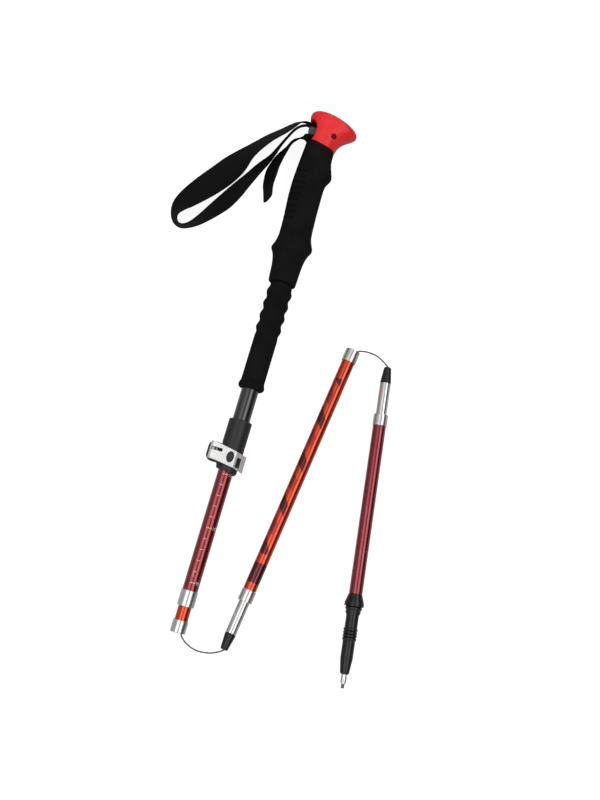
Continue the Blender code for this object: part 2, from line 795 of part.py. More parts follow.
def foam_extension(parent, finish):
    """The lower foam: a plain rim at its foot, then rounded rings under the main grip."""
    top = GRIP_BOTTOM - FIT_GAP
    rim_top = EXTENSION_BOTTOM + EXTENSION_RIM_LENGTH
    first_crest = top - CREST_FROM_TOP
    outline = [(GROOVE_OD / 2, top)]
    swing = (CREST_OD - GROOVE_OD) / 4
    middle = (CREST_OD + GROOVE_OD) / 4
    for step in range(-2, CREST_COUNT * CREST_STEPS - 2):
        height = first_crest - CREST_PITCH * step / CREST_STEPS
        wave = math.cos(2 * math.pi * step / CREST_STEPS)
        outline.append((middle + swing * wave, height))
    plain_top = first_crest - CREST_PITCH * (CREST_COUNT - 0.5)
    outline += [
        (GROOVE_OD / 2 + 0.0002, plain_top),
        (EXTENSION_OD / 2, plain_top - 0.003),
        (EXTENSION_OD / 2, rim_top + 0.0010),
        (EXTENSION_OD / 2 + 0.0003, rim_top),
        (EXTENSION_RIM_OD / 2 - 0.0005, rim_top - EXTENSION_RIM_LENGTH * 0.26),
        (EXTENSION_RIM_OD / 2, rim_top - EXTENSION_RIM_LENGTH * 0.50),
        (EXTENSION_RIM_OD / 2 - 0.0003, rim_top - EXTENSION_RIM_LENGTH * 0.70),
        (EXTENSION_RIM_OD / 2 - 0.0012, rim_top - EXTENSION_RIM_LENGTH * 0.90),
        (EXTENSION_FOOT_OD / 2, EXTENSION_BOTTOM),
        (UPPER_TUBE_OD / 2 + FOAM_BORE_GAP, EXTENSION_BOTTOM),
        (UPPER_TUBE_OD / 2 + FOAM_BORE_GAP, top),
    ]
    return turned("foam_extension", outline, finish["foam"], parent, GRIP_SIDES)


def upper_tube(parent, finish):
    bottom = CLAMP_BOTTOM + CLAMP_LIP + FIT_GAP
    tube = turned(
        "upper_tube", hollow(bottom, TUBE_TOP, UPPER_TUBE_OD, UPPER_BORE), finish["black"], parent
    )
    slit_top = bottom + CLAMP_SLIT_LENGTH
    half = CLAMP_SLIT / 2
    slit = cutter_box("tube_slit", (-0.02, -half, bottom - 0.01), (0, half, slit_top), parent)
    return cut(tube, slit)


def clamp_collar(parent, finish):
    """The split collar: it grips the upper tube's slit end, and its two ears take the screw."""
    top = CLAMP_TOP
    bottom = CLAMP_BOTTOM
    outer = CLAMP_OD / 2
    bore = UPPER_TUBE_OD / 2 + FIT_GAP
    lip_bore = SCALE_TUBE_OD / 2 + FIT_GAP
    step = bottom + CLAMP_LIP
    groove = bottom + CLAMP_GROOVE_AT
    groove_half = CLAMP_GROOVE_WIDTH / 2
    groove_floor = outer - CLAMP_GROOVE_DEPTH
    body = turned(
        "clamp_collar",
        [
            (outer - CLAMP_RIM, top),
            (outer, top - CLAMP_RIM),
            (outer, groove + groove_half + CLAMP_GROOVE_BEVEL),
            (groove_floor, groove + groove_half),
            (groove_floor, groove - groove_half),
            (outer, groove - groove_half - CLAMP_GROOVE_BEVEL),
            (outer, bottom + CLAMP_BODY_START),
            (CLAMP_FOOT_OD / 2, bottom + CLAMP_FOOT_LENGTH),
            (CLAMP_FOOT_OD / 2, bottom + CLAMP_BASE_TAPER),
            (CLAMP_BASE_OD / 2, bottom),
            (lip_bore, bottom),
            (lip_bore, step),
            (bore, step),
            (bore, top),
        ],
        finish["clamp"],
        parent,
    )
    join(body, clamp_ears(parent))
    clear_bore = cutter_rod(
        "clamp_bore", 2 * bore, (0, 0, step), (0, 0, top + 0.01), parent, TUBE_SIDES
    )
    cut(body, clear_bore)
    lip = cutter_rod(
        "clamp_lip_bore", 2 * lip_bore, (0, 0, bottom - 0.01), (0, 0, step + 0.001), parent, TUBE_SIDES
    )
    cut(body, lip)
    slant = cutter_box("clamp_slant", (-0.03, -0.03, -0.02), (0.03, 0.03, 0), parent)
    slant.location = (0, 0, bottom + CLAMP_FOOT_RISE / 2)
    slant.rotation_euler = (0, math.atan2(CLAMP_FOOT_RISE, CLAMP_BASE_OD), 0)
    cut(body, slant)
    half = CLAMP_SLIT / 2
    slit_top = EAR_BOTTOM + EAR_LENGTH + CLAMP_SLIT_PAST_EARS
    cut(body, cutter_box("clamp_slit", (-0.03, -half, bottom - 0.01), (0, half, slit_top), parent))
    hole = SCREW_OD + 2 * FIT_GAP
    ends = ((-BARREL_ACROSS, -0.02, SCREW_HEIGHT), (-BARREL_ACROSS, 0.02, SCREW_HEIGHT))
    cut(body, cutter_rod("ear_hole", hole, *ends, parent))
    return body


def clamp_ears(parent):
    """Both ears as one plate, which the slit parts: a D seen from the front."""
    depth = 2 * EAR_TOP
    rim = EAR_CORNER
    low = EAR_BOTTOM
    high = EAR_BOTTOM + EAR_LENGTH
    left = -EAR_REACH
    inner = -(CLAMP_OD / 2 - EAR_SUNK)
    points = [(inner, low)]
    for step in range(5):
        angle = math.radians(270 - 90 * step / 4)
        points.append((left + rim + rim * math.cos(angle), low + rim + rim * math.sin(angle)))
    for step in range(5):
        angle = math.radians(180 - 90 * step / 4)
        points.append((left + rim + rim * math.cos(angle), high - rim + rim * math.sin(angle)))
    points.append((inner, high))
    rings = [
        [(x, -depth / 2, z) for x, z in points],
        [(x, depth / 2, z) for x, z in points],
    ]
    return loft("ear_plate", rings, None, parent, cutters)


def cam_washer(parent, finish):
    """The plate that the cam presses on, on the front ear."""
    low = -(EAR_TOP + FIT_GAP + WASHER_THICKNESS)
    high = -(EAR_TOP + FIT_GAP)
    half = BARREL_LENGTH / 2

    def fill(mesh):
        bmesh.ops.create_cube(mesh, size=1.0)
        size = (WASHER_WIDTH, high - low, 2 * half)
        bmesh.ops.scale(mesh, vec=size, verts=mesh.verts)
        middle = (-BARREL_ACROSS, (low + high) / 2, BARREL_HEIGHT)
        bmesh.ops.translate(mesh, vec=middle, verts=mesh.verts)

    washer = new_object("cam_washer", mesh_of("cam_washer", fill), finish["steel"], parent)
    hole = SCREW_OD + 2 * FIT_GAP
    ends = ((-BARREL_ACROSS, -0.02, SCREW_HEIGHT), (-BARREL_ACROSS, 0.02, SCREW_HEIGHT))
    return cut(washer, cutter_rod("washer_hole", hole, *ends, parent))


def barrel_nut(parent, finish):
    """The cross pin that the lever turns on, with the hole that the screw passes."""
    half = BARREL_LENGTH / 2
    radius = BARREL_OD / 2
    rim = 0.0003
    barrel = turned(
        "barrel_nut",
        [
            (0, half),
            (radius - rim, half),
            (radius, half - rim),
            (radius, rim - half),
            (radius - rim, -half),
            (0, -half),
        ],
        finish["steel"],
        parent,
        SMALL_SIDES,
    )
    place(barrel, parent, (-BARREL_ACROSS, -BARREL_LIFT, BARREL_HEIGHT))
    hole = SCREW_OD + 2 * FIT_GAP
    ends = ((-BARREL_ACROSS, -0.02, SCREW_HEIGHT), (-BARREL_ACROSS, 0.02, SCREW_HEIGHT))
    return cut(barrel, cutter_rod("barrel_hole", hole, *ends, parent))


def clamp_lever(parent, finish):
    """The lever, about its pivot: a cam with a slot for the screw, and a bent plate with two windows.
    Its parent empty lies on the barrel's axis."""
    face = LEVER_FACE - BARREL_LIFT
    inner = face - LEVER_THICKNESS
    bend = LEVER_BEND_ACROSS + BARREL_ACROSS
    end = LEVER_END_ACROSS + BARREL_ACROSS
    drop = end - bend
    tan = math.tan(math.radians(22.5))
    inner_bend = bend - LEVER_THICKNESS * tan
    slope = LEVER_THICKNESS / math.sqrt(2)
    outline = [
        (inner_bend, inner),
        (end - slope, face - drop - slope),
        (end, face - drop),
        (bend + 0.0006, face - 0.0006),
        (bend - 0.0008, face),
    ]
    radius = CAM_OD / 2
    for step in range(9):
        share = step / 8
        angle = math.radians(90 + 100 * share)
        reach = face + (radius - 0.0001 - face) * math.sin(math.pi / 2 * share)
        outline.append((reach * math.cos(angle), reach * math.sin(angle)))
    for step in range(10):
        angle = math.radians(205 + 150 * step / 9)
        outline.append((radius * math.cos(angle), radius * math.sin(angle) - CAM_THROW))
    outline.append((radius + 0.0002, inner - 0.0008))
    outline.append((radius + 0.0010, inner))
    rings = [
        [(x, -z, lever_edge(x, 2)) for x, z in outline],
        [(x, -z, lever_edge(x, 1)) for x, z in outline],
    ]
    lever = loft("clamp_lever", rings, finish["silver"], parent)
    hole = BARREL_OD + 2 * FIT_GAP
    cut(lever, cutter_rod("lever_bore", hole, (0, 0, -0.02), (0, 0, 0.02), parent))
    half_slot = LEVER_SLOT / 2
    slot_low = (-0.01, -0.01, SCREW_ABOVE_BARREL - half_slot)
    slot_high = (BARREL_ACROSS - LEVER_SLOT_END, 0.01, SCREW_ABOVE_BARREL + half_slot)
    cut(lever, cutter_box("lever_slot", slot_low, slot_high, parent))
    oval_at = (BARREL_ACROSS + LEVER_OVAL_AT[0], LEVER_OVAL_AT[1])
    oval_ends = ((oval_at[0], -0.02, oval_at[1]), (oval_at[0], 0.01, oval_at[1]))
    cut(
        lever,
        cutter_rod("lever_oval", LEVER_OVAL_WIDTH, *oval_ends, parent, 24, LEVER_OVAL_STRETCH),
    )
    window_at = (BARREL_ACROSS + LEVER_WINDOW_AT[0], LEVER_WINDOW_AT[1])
    half_width = LEVER_WINDOW_WIDTH / 2
    half_length = LEVER_WINDOW_LENGTH / 2
    window_low = (window_at[0] - half_width, -0.01, window_at[1] - half_length)
    window_high = (window_at[0] + half_width, 0.02, window_at[1] + half_length)
    cut(lever, cutter_box("lever_window", window_low, window_high, parent))
    return lever


def lever_edge(from_pivot, column):
    """The upper or lower long edge of the lever's plate, which slants towards its free end."""
    across = from_pivot - BARREL_ACROSS
    before = LEVER_EDGES[0]
    if across <= before[0]:
        return before[column]
    for after in LEVER_EDGES[1:]:
        if across <= after[0] or after is LEVER_EDGES[-1]:
            share = (across - before[0]) / (after[0] - before[0])
            return before[column] + (after[column] - before[column]) * share
        before = after


def tension_screw(parent, finish):
    """The screw through both ears and the barrel, about its own axis. Its head is at the back."""
    radius = SCREW_OD / 2
    top = SCREW_TOP
    bottom = -(EAR_TOP + FIT_GAP)
    head_bottom = bottom - KNOB_HEIGHT
    return turned(
        "tension_screw",
        [
            (0, top),
            (radius - 0.0003, top),
            (radius, top - 0.0003),
            (radius, head_bottom),
            (0, head_bottom),
        ],
        finish["steel"],
        parent,
        SMALL_SIDES,
    )


def adjuster_knob(parent, finish):
    """The ribbed knob on the screw's back end."""
    top = -(EAR_TOP + FIT_GAP)
    bottom = top - KNOB_HEIGHT
    outer = KNOB_OD / 2
    bore = SCREW_OD / 2 + FIT_GAP

    def fill(mesh):
        rows = []
        sides = 4 * KNOB_RIBS
        for radius_out, height in (
            (outer - KNOB_RIM, top),
            (outer, top - KNOB_RIM),
            (outer, bottom + KNOB_RIM),
            (outer - KNOB_RIM, bottom),
        ):
            row = []
            for i in range(sides):
                turn = 2 * math.pi * i / sides
                dip = KNOB_GROOVE if i % 4 in (2, 3) else 0.0
                reach = radius_out - dip
                row.append(mesh.verts.new((reach * math.cos(turn), reach * math.sin(turn), height)))
            rows.append(row)
        for high, low in zip(rows, rows[1:]):
            for i in range(sides):
                j = (i + 1) % sides
                mesh.faces.new((low[i], low[j], high[j], high[i]))
        mesh.faces.new(rows[0])
        mesh.faces.new(rows[-1])

    knob = new_object("adjuster_knob", mesh_of("adjuster_knob", fill), finish["clamp"], parent)
    ends = ((0, 0, bottom - 0.01), (0, 0, top + 0.01))
    return cut(knob, cutter_rod("knob_bore", 2 * bore, *ends, parent))


# Length scale and tension sleeve


def scale_group(parent, finish):
    tube_bottom = SCALE_COLLAR_BOTTOM + LIP + FIT_GAP
    tube_top = tube_bottom + SCALE_TUBE_LENGTH
    tube = hollow(tube_bottom, tube_top, SCALE_TUBE_OD, SCALE_BORE)
    turned("scale_tube", tube, finish["maroon"], parent)
    outer = SCALE_COLLAR_OD / 2
    seat = SCALE_TUBE_OD / 2 + FIT_GAP
    collar = [
        (outer - 0.0002, SCALE_COLLAR_TOP),
        (outer, SCALE_COLLAR_TOP - 0.0003),
        (outer, SCALE_COLLAR_BOTTOM + 0.0004),
        (outer - 0.0003, SCALE_COLLAR_BOTTOM),
        (SCALE_BORE / 2, SCALE_COLLAR_BOTTOM),
        (SCALE_BORE / 2, SCALE_COLLAR_BOTTOM + LIP),
        (seat, SCALE_COLLAR_BOTTOM + LIP),
        (seat, SCALE_COLLAR_TOP),
    ]
    turned("scale_collar", collar, finish["silver"], parent)
    flange = UPPER_BORE / 2 - FIT_GAP
    plug = SCALE_BORE / 2 - FIT_GAP
    bush_low = tube_top - 0.012
    bush_rest = tube_top + FIT_GAP
    bush = [
        (flange - 0.0002, bush_rest + 0.0040),
        (flange, bush_rest + 0.0036),
        (flange, bush_rest),
        (plug, bush_rest),
        (plug, bush_low),
        (plug - 0.0010, bush_low),
        (plug - 0.0010, bush_rest + 0.0040),
    ]
    turned("guide_bush", bush, finish["nylon"], parent)


def mouth_collar(name, low, length, outer_od, parent, material):
    """A ferrule over a slim tube's open end, with its lip at the mouth. The mouth is at low."""
    outer = outer_od / 2
    seat = SLIM_TUBE_OD / 2 + FIT_GAP
    bore = SLIM_BORE / 2
    outline = [
        (outer - 0.0002, low + length),
        (outer, low + length - 0.0003),
        (outer, low + 0.0004),
        (outer - 0.0004, low),
        (bore, low),
        (bore, low + LIP),
        (seat, low + LIP),
        (seat, low + length),
    ]
    return turned(name, outline, material, parent)


def sleeve_group(parent, finish):
    bottom = LIP + FIT_GAP
    top = bottom + SLEEVE_LENGTH
    sleeve = turned(
        "tension_sleeve", hollow(bottom, top, SLIM_TUBE_OD, SLIM_BORE), finish["orange"], parent
    )
    hole = BUTTON_OD + 2 * FIT_GAP
    ends = ((0, -0.02, BUTTON_HEIGHT), (0, 0, BUTTON_HEIGHT))
    cut(sleeve, cutter_rod("button_hole", hole, *ends, parent))
    mouth_collar(
        "sleeve_collar", 0.0, SLEEVE_COLLAR_LENGTH, SLEEVE_COLLAR_OD, parent, finish["silver"]
    )
    plug_top = top - 0.002
    plug_bottom = plug_top - PLUG_LENGTH
    plug_od = SLIM_BORE - 2 * FIT_GAP
    cable_bore = CABLE_OD + 2 * FIT_GAP
    plug = hollow(plug_bottom, plug_top, plug_od, cable_bore, 0.0004)
    turned("cable_anchor_plug", plug, finish["nylon"], parent, SMALL_SIDES)
    ferrule_bottom = plug_top + FIT_GAP
    ferrule_top = ferrule_bottom + FERRULE_LENGTH
    ferrule = hollow(ferrule_bottom, ferrule_top, FERRULE_OD, cable_bore, 0.0004)
    turned("cable_ferrule", ferrule, finish["steel"], parent, SMALL_SIDES)
    seated_nose = SPIGOT_SEAT - NOSE_LENGTH - NOSE_PLUG_LENGTH
    route = [
        (0, 0, ferrule_top - 0.0005),
        (0, 0, plug_bottom - 0.004),
        (0, 0, BUTTON_HEIGHT),
        (0, 0, SPIGOT_SEAT),
        (0, 0, seated_nose),
    ]
    cable("upper_cable", route + cable_exit(BEND_1, 1), finish["cable"], parent, 3)
    button_spring(parent, finish)


def cable_exit(bend, direction):
    """The last points of a cable inside a mouth, up to the face where its free bend starts.
    The direction is 1 where the section's Z runs in from the mouth, and -1 where it runs out."""
    start = Vector((bend[0][0], bend[0][1]))
    back = (start - Vector((bend[1][0], bend[1][1]))).normalized()
    points = []
    for reach in (0.0042, FIT_GAP):
        at = start + back * reach
        points.append((at.x, 0, -at.y * direction))
    return points


def button_spring(parent, finish):
    """A hairpin of wire across the sleeve: one leg behind the button, the other on the far wall."""
    reach = SLIM_BORE / 2 - FIT_GAP - SPRING_WIRE / 2
    wall = math.sqrt(reach**2 - SPRING_ASIDE**2)
    back = SLIM_TUBE_OD / 2 - BUTTON_DEPTH - FIT_GAP - SPRING_WIRE / 2
    turn_low = BUTTON_HEIGHT - SPRING_LENGTH
    route = [
        (-back, BUTTON_HEIGHT + 0.0030),
        (-back, BUTTON_HEIGHT),
        (-back - 0.0006, BUTTON_HEIGHT - 0.009),
        (-wall + 0.0010, turn_low + 0.0050),
        (-wall + 0.0022, turn_low + 0.0010),
        (0.0, turn_low),
        (wall - 0.0022, turn_low + 0.0010),
        (wall - 0.0003, turn_low + 0.0050),
        (wall, BUTTON_HEIGHT - 0.008),
        (wall, BUTTON_HEIGHT + 0.004),
    ]
    points = [(-SPRING_ASIDE, y, z) for y, z in route]
    cable("button_spring", points, finish["steel"], parent, 2, SPRING_WIRE)


def lock_button(parent, finish):
    """The snap button, about its parent empty on its own axis, pressed in by the scale tube's wall."""
    outer = BUTTON_OD / 2
    flange = BUTTON_FLANGE_OD / 2
    face = SLIM_TUBE_OD / 2
    flange_top = SLIM_BORE / 2 - 0.0016
    back = face - BUTTON_DEPTH
    return turned(
        "lock_button",
        [
            (0, face),
            (outer * 0.72, face - 0.0003),
            (outer, face - 0.0011),
            (outer, flange_top),
            (flange, flange_top),
            (flange, back),
            (0, back),
        ],
        finish["steel"],
        parent,
        SMALL_SIDES,
    )


# Folding sections


def nose_group(prefix, parent, finish):
    """The nose, spigot and stop collar at a folding section's lower end, from its nose's tip up."""
    tip = NOSE_TIP_OD / 2
    base = SPIGOT_OD / 2
    bore = NOSE_BORE / 2
    plug = SPIGOT_OD / 2 - SPIGOT_WALL - FIT_GAP
    plug_top = NOSE_LENGTH + NOSE_PLUG_LENGTH
    nose = [
        (plug, plug_top),
        (plug, NOSE_LENGTH),
        (base + 0.0001, NOSE_LENGTH),
        (base + 0.0001, NOSE_LENGTH - 0.0008),
        (tip + 0.0002, 0.0008),
        (tip - 0.0005, 0.0),
        (bore, 0.0),
        (bore, plug_top),
    ]
    turned(f"{prefix}_nose", nose, finish["nylon"], parent)
    spigot_low = NOSE_LENGTH + FIT_GAP
    spigot_top = STOP_COLLAR_TOP + SPIGOT_INSIDE
    spigot = hollow(spigot_low, spigot_top, SPIGOT_OD, SPIGOT_OD - 2 * SPIGOT_WALL)
    turned(f"{prefix}_spigot", spigot, finish["silver"], parent)
    outer = STOP_COLLAR_OD / 2
    ring_bore = SPIGOT_OD / 2 + FIT_GAP
    ring = [
        (outer - 0.0002, STOP_COLLAR_TOP),
        (outer, STOP_COLLAR_TOP - 0.0003),
        (outer, SPIGOT_SEAT + 0.0005),
        (outer - 0.0005, SPIGOT_SEAT),
        (ring_bore, SPIGOT_SEAT),
        (ring_bore, STOP_COLLAR_TOP),
    ]
    turned(f"{prefix}_collar", ring, finish["silver"], parent)


def middle_section(parent, finish):
    nose_group("middle", parent, finish)
    tube_top = FOLD_TUBE_BOTTOM + MIDDLE_TUBE_LENGTH
    tube = hollow(FOLD_TUBE_BOTTOM, tube_top, SLIM_TUBE_OD, SLIM_BORE)
    turned("middle_tube", tube, finish["orange"], parent)
    collar = mouth_collar(
        "middle_mouth_collar",
        0.0,
        MOUTH_COLLAR_LENGTH,
        MOUTH_COLLAR_OD,
        parent,
        finish["silver"],
    )
    place(collar, parent, (0, 0, MIDDLE_MOUTH), (math.pi, 0, 0))
    start = hidden_cable_start()
    straight_end = MIDDLE_MOUTH - SPIGOT_SEAT + NOSE_LENGTH + NOSE_PLUG_LENGTH
    route = [(0, 0, start), (0, 0, start + 0.04), (0, 0, straight_end)]
    last = [(x, y, MIDDLE_MOUTH + z) for x, y, z in cable_exit(BEND_2, -1)]
    cable("middle_cable_end", route + last, finish["cable"], parent, 3)


def hidden_cable_start():
    """Where the cable goes on inside a folding section, clear of the stretch that it slides up."""
    return CABLE_LENGTH_IN_NOSE + seat_travel() + CABLE_GAP


def nose_cable(name, parent, section, finish):
    """The stretch of cable that a folding section slides along when it seats."""
    points = ((0, 0, CABLE_INTO_NOSE + FIT_GAP), (0, 0, 0.03), (0, 0, CABLE_LENGTH_IN_NOSE))
    made = cable(name, points, finish["cable"], None, 1)
    return keep_world(made, parent, section)


def free_cable(name, bend, mouth, nose, parent, finish):
    """The bend in the open between a mouth and a nose. Both are world matrices whose Z runs out of
    the mouth and into the nose, and whose X runs across."""
    points = [mouth @ Vector((across, 0, out)) for across, out in bend]
    points.append(nose @ Vector((0, 0, -0.0004)))
    points.append(nose @ Vector((0, 0, CABLE_INTO_NOSE)))
    made = cable(name, points, finish["cable"], None, 3)
    return keep_world(made, parent, Matrix.Identity(4))


def keep_world(obj, parent, matrix):
    """Parents an object to an empty and keeps its place before the pole is set on its origin."""
    obj.parent = parent
    obj.matrix_parent_inverse = parent_world[parent].inverted()
    obj.matrix_basis = matrix
    return obj


def seat_travel():
    """How far a folding section slides up its cable from straight to seated."""
    return CABLE_GAP + SPIGOT_SEAT - FIT_GAP


def lower_section(parent, finish):
    nose_group("lower", parent, finish)
    tube = hollow(FOLD_TUBE_BOTTOM, TIP_BODY_BOTTOM, SLIM_TUBE_OD, SLIM_BORE)
    turned("lower_tube", tube, finish["maroon"], parent)
    tip_body(parent, finish)
    flex_tip(parent, finish)
    lower_anchor(parent, finish)


def tip_body(parent, finish):
    """The moulded foot: a flared stop, ridges for a basket, and a shaft down to the flex tip.
    Z runs from the section's nose to the point."""
    top = TIP_BODY_BOTTOM + FIT_GAP
    bottom = top + TIP_BODY_LENGTH
    plug = SLIM_BORE / 2 - FIT_GAP
    outline = [(0, top - TIP_PLUG_LENGTH), (plug, top - TIP_PLUG_LENGTH), (plug, top)]
    outline += [(od / 2, top + below) for od, below in TIP_STATIONS]
    for step in range(SHAFT_RIDGE_COUNT):
        at = top + SHAFT_RIDGES_BELOW + SHAFT_RIDGE_PITCH * step
        outline += [
            (SHAFT_RIDGE_OD / 2, at),
            (SHAFT_RIDGE_OD / 2, at + SHAFT_RIDGE_PITCH / 2),
            (SHAFT_OD / 2, at + SHAFT_RIDGE_PITCH * 0.8),
        ]
    outline += [
        (SHAFT_OD / 2, top + SHAFT_LENGTH),
        (TIP_END_OD / 2, bottom - 0.0014),
        (TIP_END_OD / 2 - 0.0011, bottom),
    ]
    bore = FLEX_TIP_OD / 2 + FIT_GAP
    depth = bottom - FLEX_TIP_INSIDE - FIT_GAP
    outline += [(bore, bottom), (bore, depth), (0, depth)]
    outline.reverse()
    return turned("tip_body", outline, finish["nylon"], parent)


def flex_tip(parent, finish):
    top = TIP_BODY_BOTTOM + FIT_GAP + TIP_BODY_LENGTH
    radius = FLEX_TIP_OD / 2
    bottom = top + FLEX_TIP_SHOWING
    bore = CARBIDE_OD / 2 + FIT_GAP
    depth = bottom - CARBIDE_INSIDE - FIT_GAP
    outline = [
        (0, depth),
        (bore, depth),
        (bore, bottom),
        (radius - 0.0006, bottom),
        (radius - 0.0002, bottom - 0.0010),
        (radius, top + 0.0030),
        (radius - 0.0002, top + 0.0010),
        (radius - 0.0002, top - FLEX_TIP_INSIDE),
        (0, top - FLEX_TIP_INSIDE),
    ]
    turned("flex_tip", outline, finish["steel"], parent, SMALL_SIDES)
    point = bottom + CARBIDE_SHOWING
    hard = CARBIDE_OD / 2
    carbide = [
        (0, point - 0.0003),
        (hard * 0.55, point - 0.0002),
        (hard * 0.85, point),
        (hard, point - 0.0006),
        (hard, bottom - CARBIDE_INSIDE),
        (0, bottom - CARBIDE_INSIDE),
    ]
    turned("carbide_tip", carbide, finish["carbide"], parent, SMALL_SIDES)


def lower_anchor(parent, finish):
    """The crimped stop that ties the cable's end inside the lower tube."""
    start = hidden_cable_start()
    bottom = start + 0.006
    bore = CABLE_OD + 2 * FIT_GAP
    plug = hollow(bottom, bottom + PLUG_LENGTH, SLIM_BORE - 2 * FIT_GAP, bore, 0.0004)
    turned("lower_anchor", plug, finish["nylon"], parent, SMALL_SIDES)
    end = bottom + PLUG_LENGTH + 0.003
    route = ((0, 0, start), (0, 0, bottom), (0, 0, end))
    cable("lower_cable_end", route, finish["cable"], parent, 2)


# Laying the sections on the ground


def lying(low_height, low_od, high_height, high_od):
    """(slope, lift): how an axis rises, and its height at 0, when two round places touch the ground."""
    slope = (high_od - low_od) / 2 / (high_height - low_height)
    return slope, low_od / 2 - slope * low_height


def section_matrix(at, turn, slope, lift):
    """Lays a section modelled along +Z down on the ground, with its front up."""
    stand = Matrix.Rotation(math.radians(-90), 4, "X")
    tilt = Matrix.Rotation(math.atan(slope), 4, "X")
    spin = Matrix.Rotation(math.radians(turn), 4, "Z")
    return Matrix.Translation((at[0], at[1], lift)) @ spin @ tilt @ stand


def down(matrix):
    """The world direction of a section's own +Z."""
    return (matrix.to_3x3() @ Vector((0, 0, 1))).normalized()


def hinge_between(point_from, along_from, point_to, along_to):
    """The fixed axis whose turn takes one line to another, and one point to another.
    It returns the axis's place, its direction and the angle."""
    normal = (along_to - along_from).cross(point_to - point_from).normalized()
    flat_from = (along_from - normal * along_from.dot(normal)).normalized()
    flat_to = (along_to - normal * along_to.dot(normal)).normalized()
    angle = math.atan2(normal.dot(flat_from.cross(flat_to)), flat_from.dot(flat_to))
    half = (point_to - point_from) / 2
    centre = point_from + half + normal.cross(half) / math.tan(angle / 2)
    if angle < 0:
        return centre, -normal, -angle
    return centre, normal, angle


def axis_matrix(place_at, direction):
    turn = direction.to_track_quat("Z", "Y").to_matrix().to_4x4()
    return Matrix.Translation(place_at) @ turn


def empty_at(name, parent, matrix):
    """An empty whose world matrix, before the pole is set on its origin, is the one given."""
    made = new_empty(name, parent)
    made.matrix_parent_inverse = parent_world[parent].inverted()
    made.matrix_basis = matrix
    parent_world[made] = matrix
    return made


def set_on_origin(root):
    """Moves the whole pole so that its box's bottom centre is the origin."""
    bpy.context.view_layer.update()
    graph = bpy.context.evaluated_depsgraph_get()
    low = Vector((1e9, 1e9, 1e9))
    high = -low
    for obj in parts.objects:
        if obj.type == "EMPTY":
            continue
        shown = obj.evaluated_get(graph)
        mesh = shown.to_mesh()
        for vertex in mesh.vertices:
            at = shown.matrix_world @ vertex.co
            low = Vector(map(min, low, at))
            high = Vector(map(max, high, at))
        shown.to_mesh_clear()
    root.location = (-(low.x + high.x) / 2, -(low.y + high.y) / 2, -low.z)
    bpy.context.view_layer.update()


def finishes():
    return {
        "red": new_material("head_red", (0.74, 0.025, 0.032), 0.38),
        "foam": new_material("foam_black", (0.012, 0.011, 0.011), 0.85),
        "webbing": new_material("webbing_black", (0.011, 0.011, 0.012), 0.8),
        "grey": new_material("wedge_grey", (0.32, 0.32, 0.33), 0.5),
        "black": new_material("tube_black", (0.02, 0.02, 0.021), 0.25, 0.3),
        "clamp": new_material("clamp_black", (0.022, 0.022, 0.024), 0.45),
        "silver": new_material("polished_aluminium", (0.83, 0.83, 0.84), 0.22, 1.0),
        "steel": new_material("steel", (0.55, 0.55, 0.56), 0.3, 1.0),
        "maroon": new_material("anodised_maroon", (0.20, 0.010, 0.018), 0.25, 0.5),
        "orange": new_material("anodised_orange", (0.72, 0.045, 0.012), 0.25, 0.5),
        "nylon": new_material("nylon_black", (0.014, 0.014, 0.015), 0.5),
        "cable": new_material("coated_cable", (0.10, 0.10, 0.11), 0.5),
        "carbide": new_material("carbide", (0.08, 0.08, 0.085), 0.4, 0.8),
    }


clear_scene()
parts = new_collection("folding_trekking_pole")
cutters = new_collection("cutters", hidden=True)
finish = finishes()

RIM_HEIGHT = SEAM_HEIGHT + (HEAD_STATIONS[6][1] + HEAD_STATIONS[6][3]) / 2
RIM_OD = 2 * HEAD_STATIONS[6][4]
handle_lie = lying(CLAMP_BOTTOM + CLAMP_BODY_START, CLAMP_OD, RIM_HEIGHT, RIM_OD)
middle_lie = lying(SPIGOT_SEAT, STOP_COLLAR_OD, MIDDLE_MOUTH, MOUTH_COLLAR_OD)
lower_lie = lying(SPIGOT_SEAT, STOP_COLLAR_OD, TIP_BODY_BOTTOM + FLARE_LENGTH, FLARE_OD)
handle_matrix = section_matrix((0, 0), 0, *handle_lie)
middle_matrix = section_matrix(MIDDLE_NOSE_AT, MIDDLE_TURN, *middle_lie)
second_mouth = middle_matrix @ Matrix.Translation((0, 0, MIDDLE_MOUTH))
lower_at = second_mouth.translation + Vector((*LOWER_NOSE_AT, 0))
lower_matrix = section_matrix(lower_at, LOWER_TURN, *lower_lie)
straight_lower = middle_matrix @ Matrix.Translation((0, 0, MIDDLE_MOUTH + CABLE_GAP))

root = new_empty("trekking_pole")
parent_world = {root: Matrix.Identity(4)}
handle = empty_at("handle_section", root, handle_matrix)
lever_pivot = empty_at(
    "lever_pivot",
    handle,
    handle_matrix @ Matrix.Translation((-BARREL_ACROSS, -BARREL_LIFT, BARREL_HEIGHT)),
)
screw_axis = empty_at(
    "screw_axis",
    handle,
    handle_matrix
    @ Matrix.Translation((-BARREL_ACROSS, 0, SCREW_HEIGHT))
    @ Matrix.Rotation(math.pi / 2, 4, "X"),
)
scale_slide = empty_at("scale_slide", handle, handle_matrix)
sleeve_slide = empty_at("sleeve_slide", scale_slide, handle_matrix)
button_axis = empty_at(
    "button_axis",
    sleeve_slide,
    handle_matrix
    @ Matrix.Translation((0, 0, BUTTON_HEIGHT))
    @ Matrix.Rotation(math.pi / 2, 4, "X"),
)

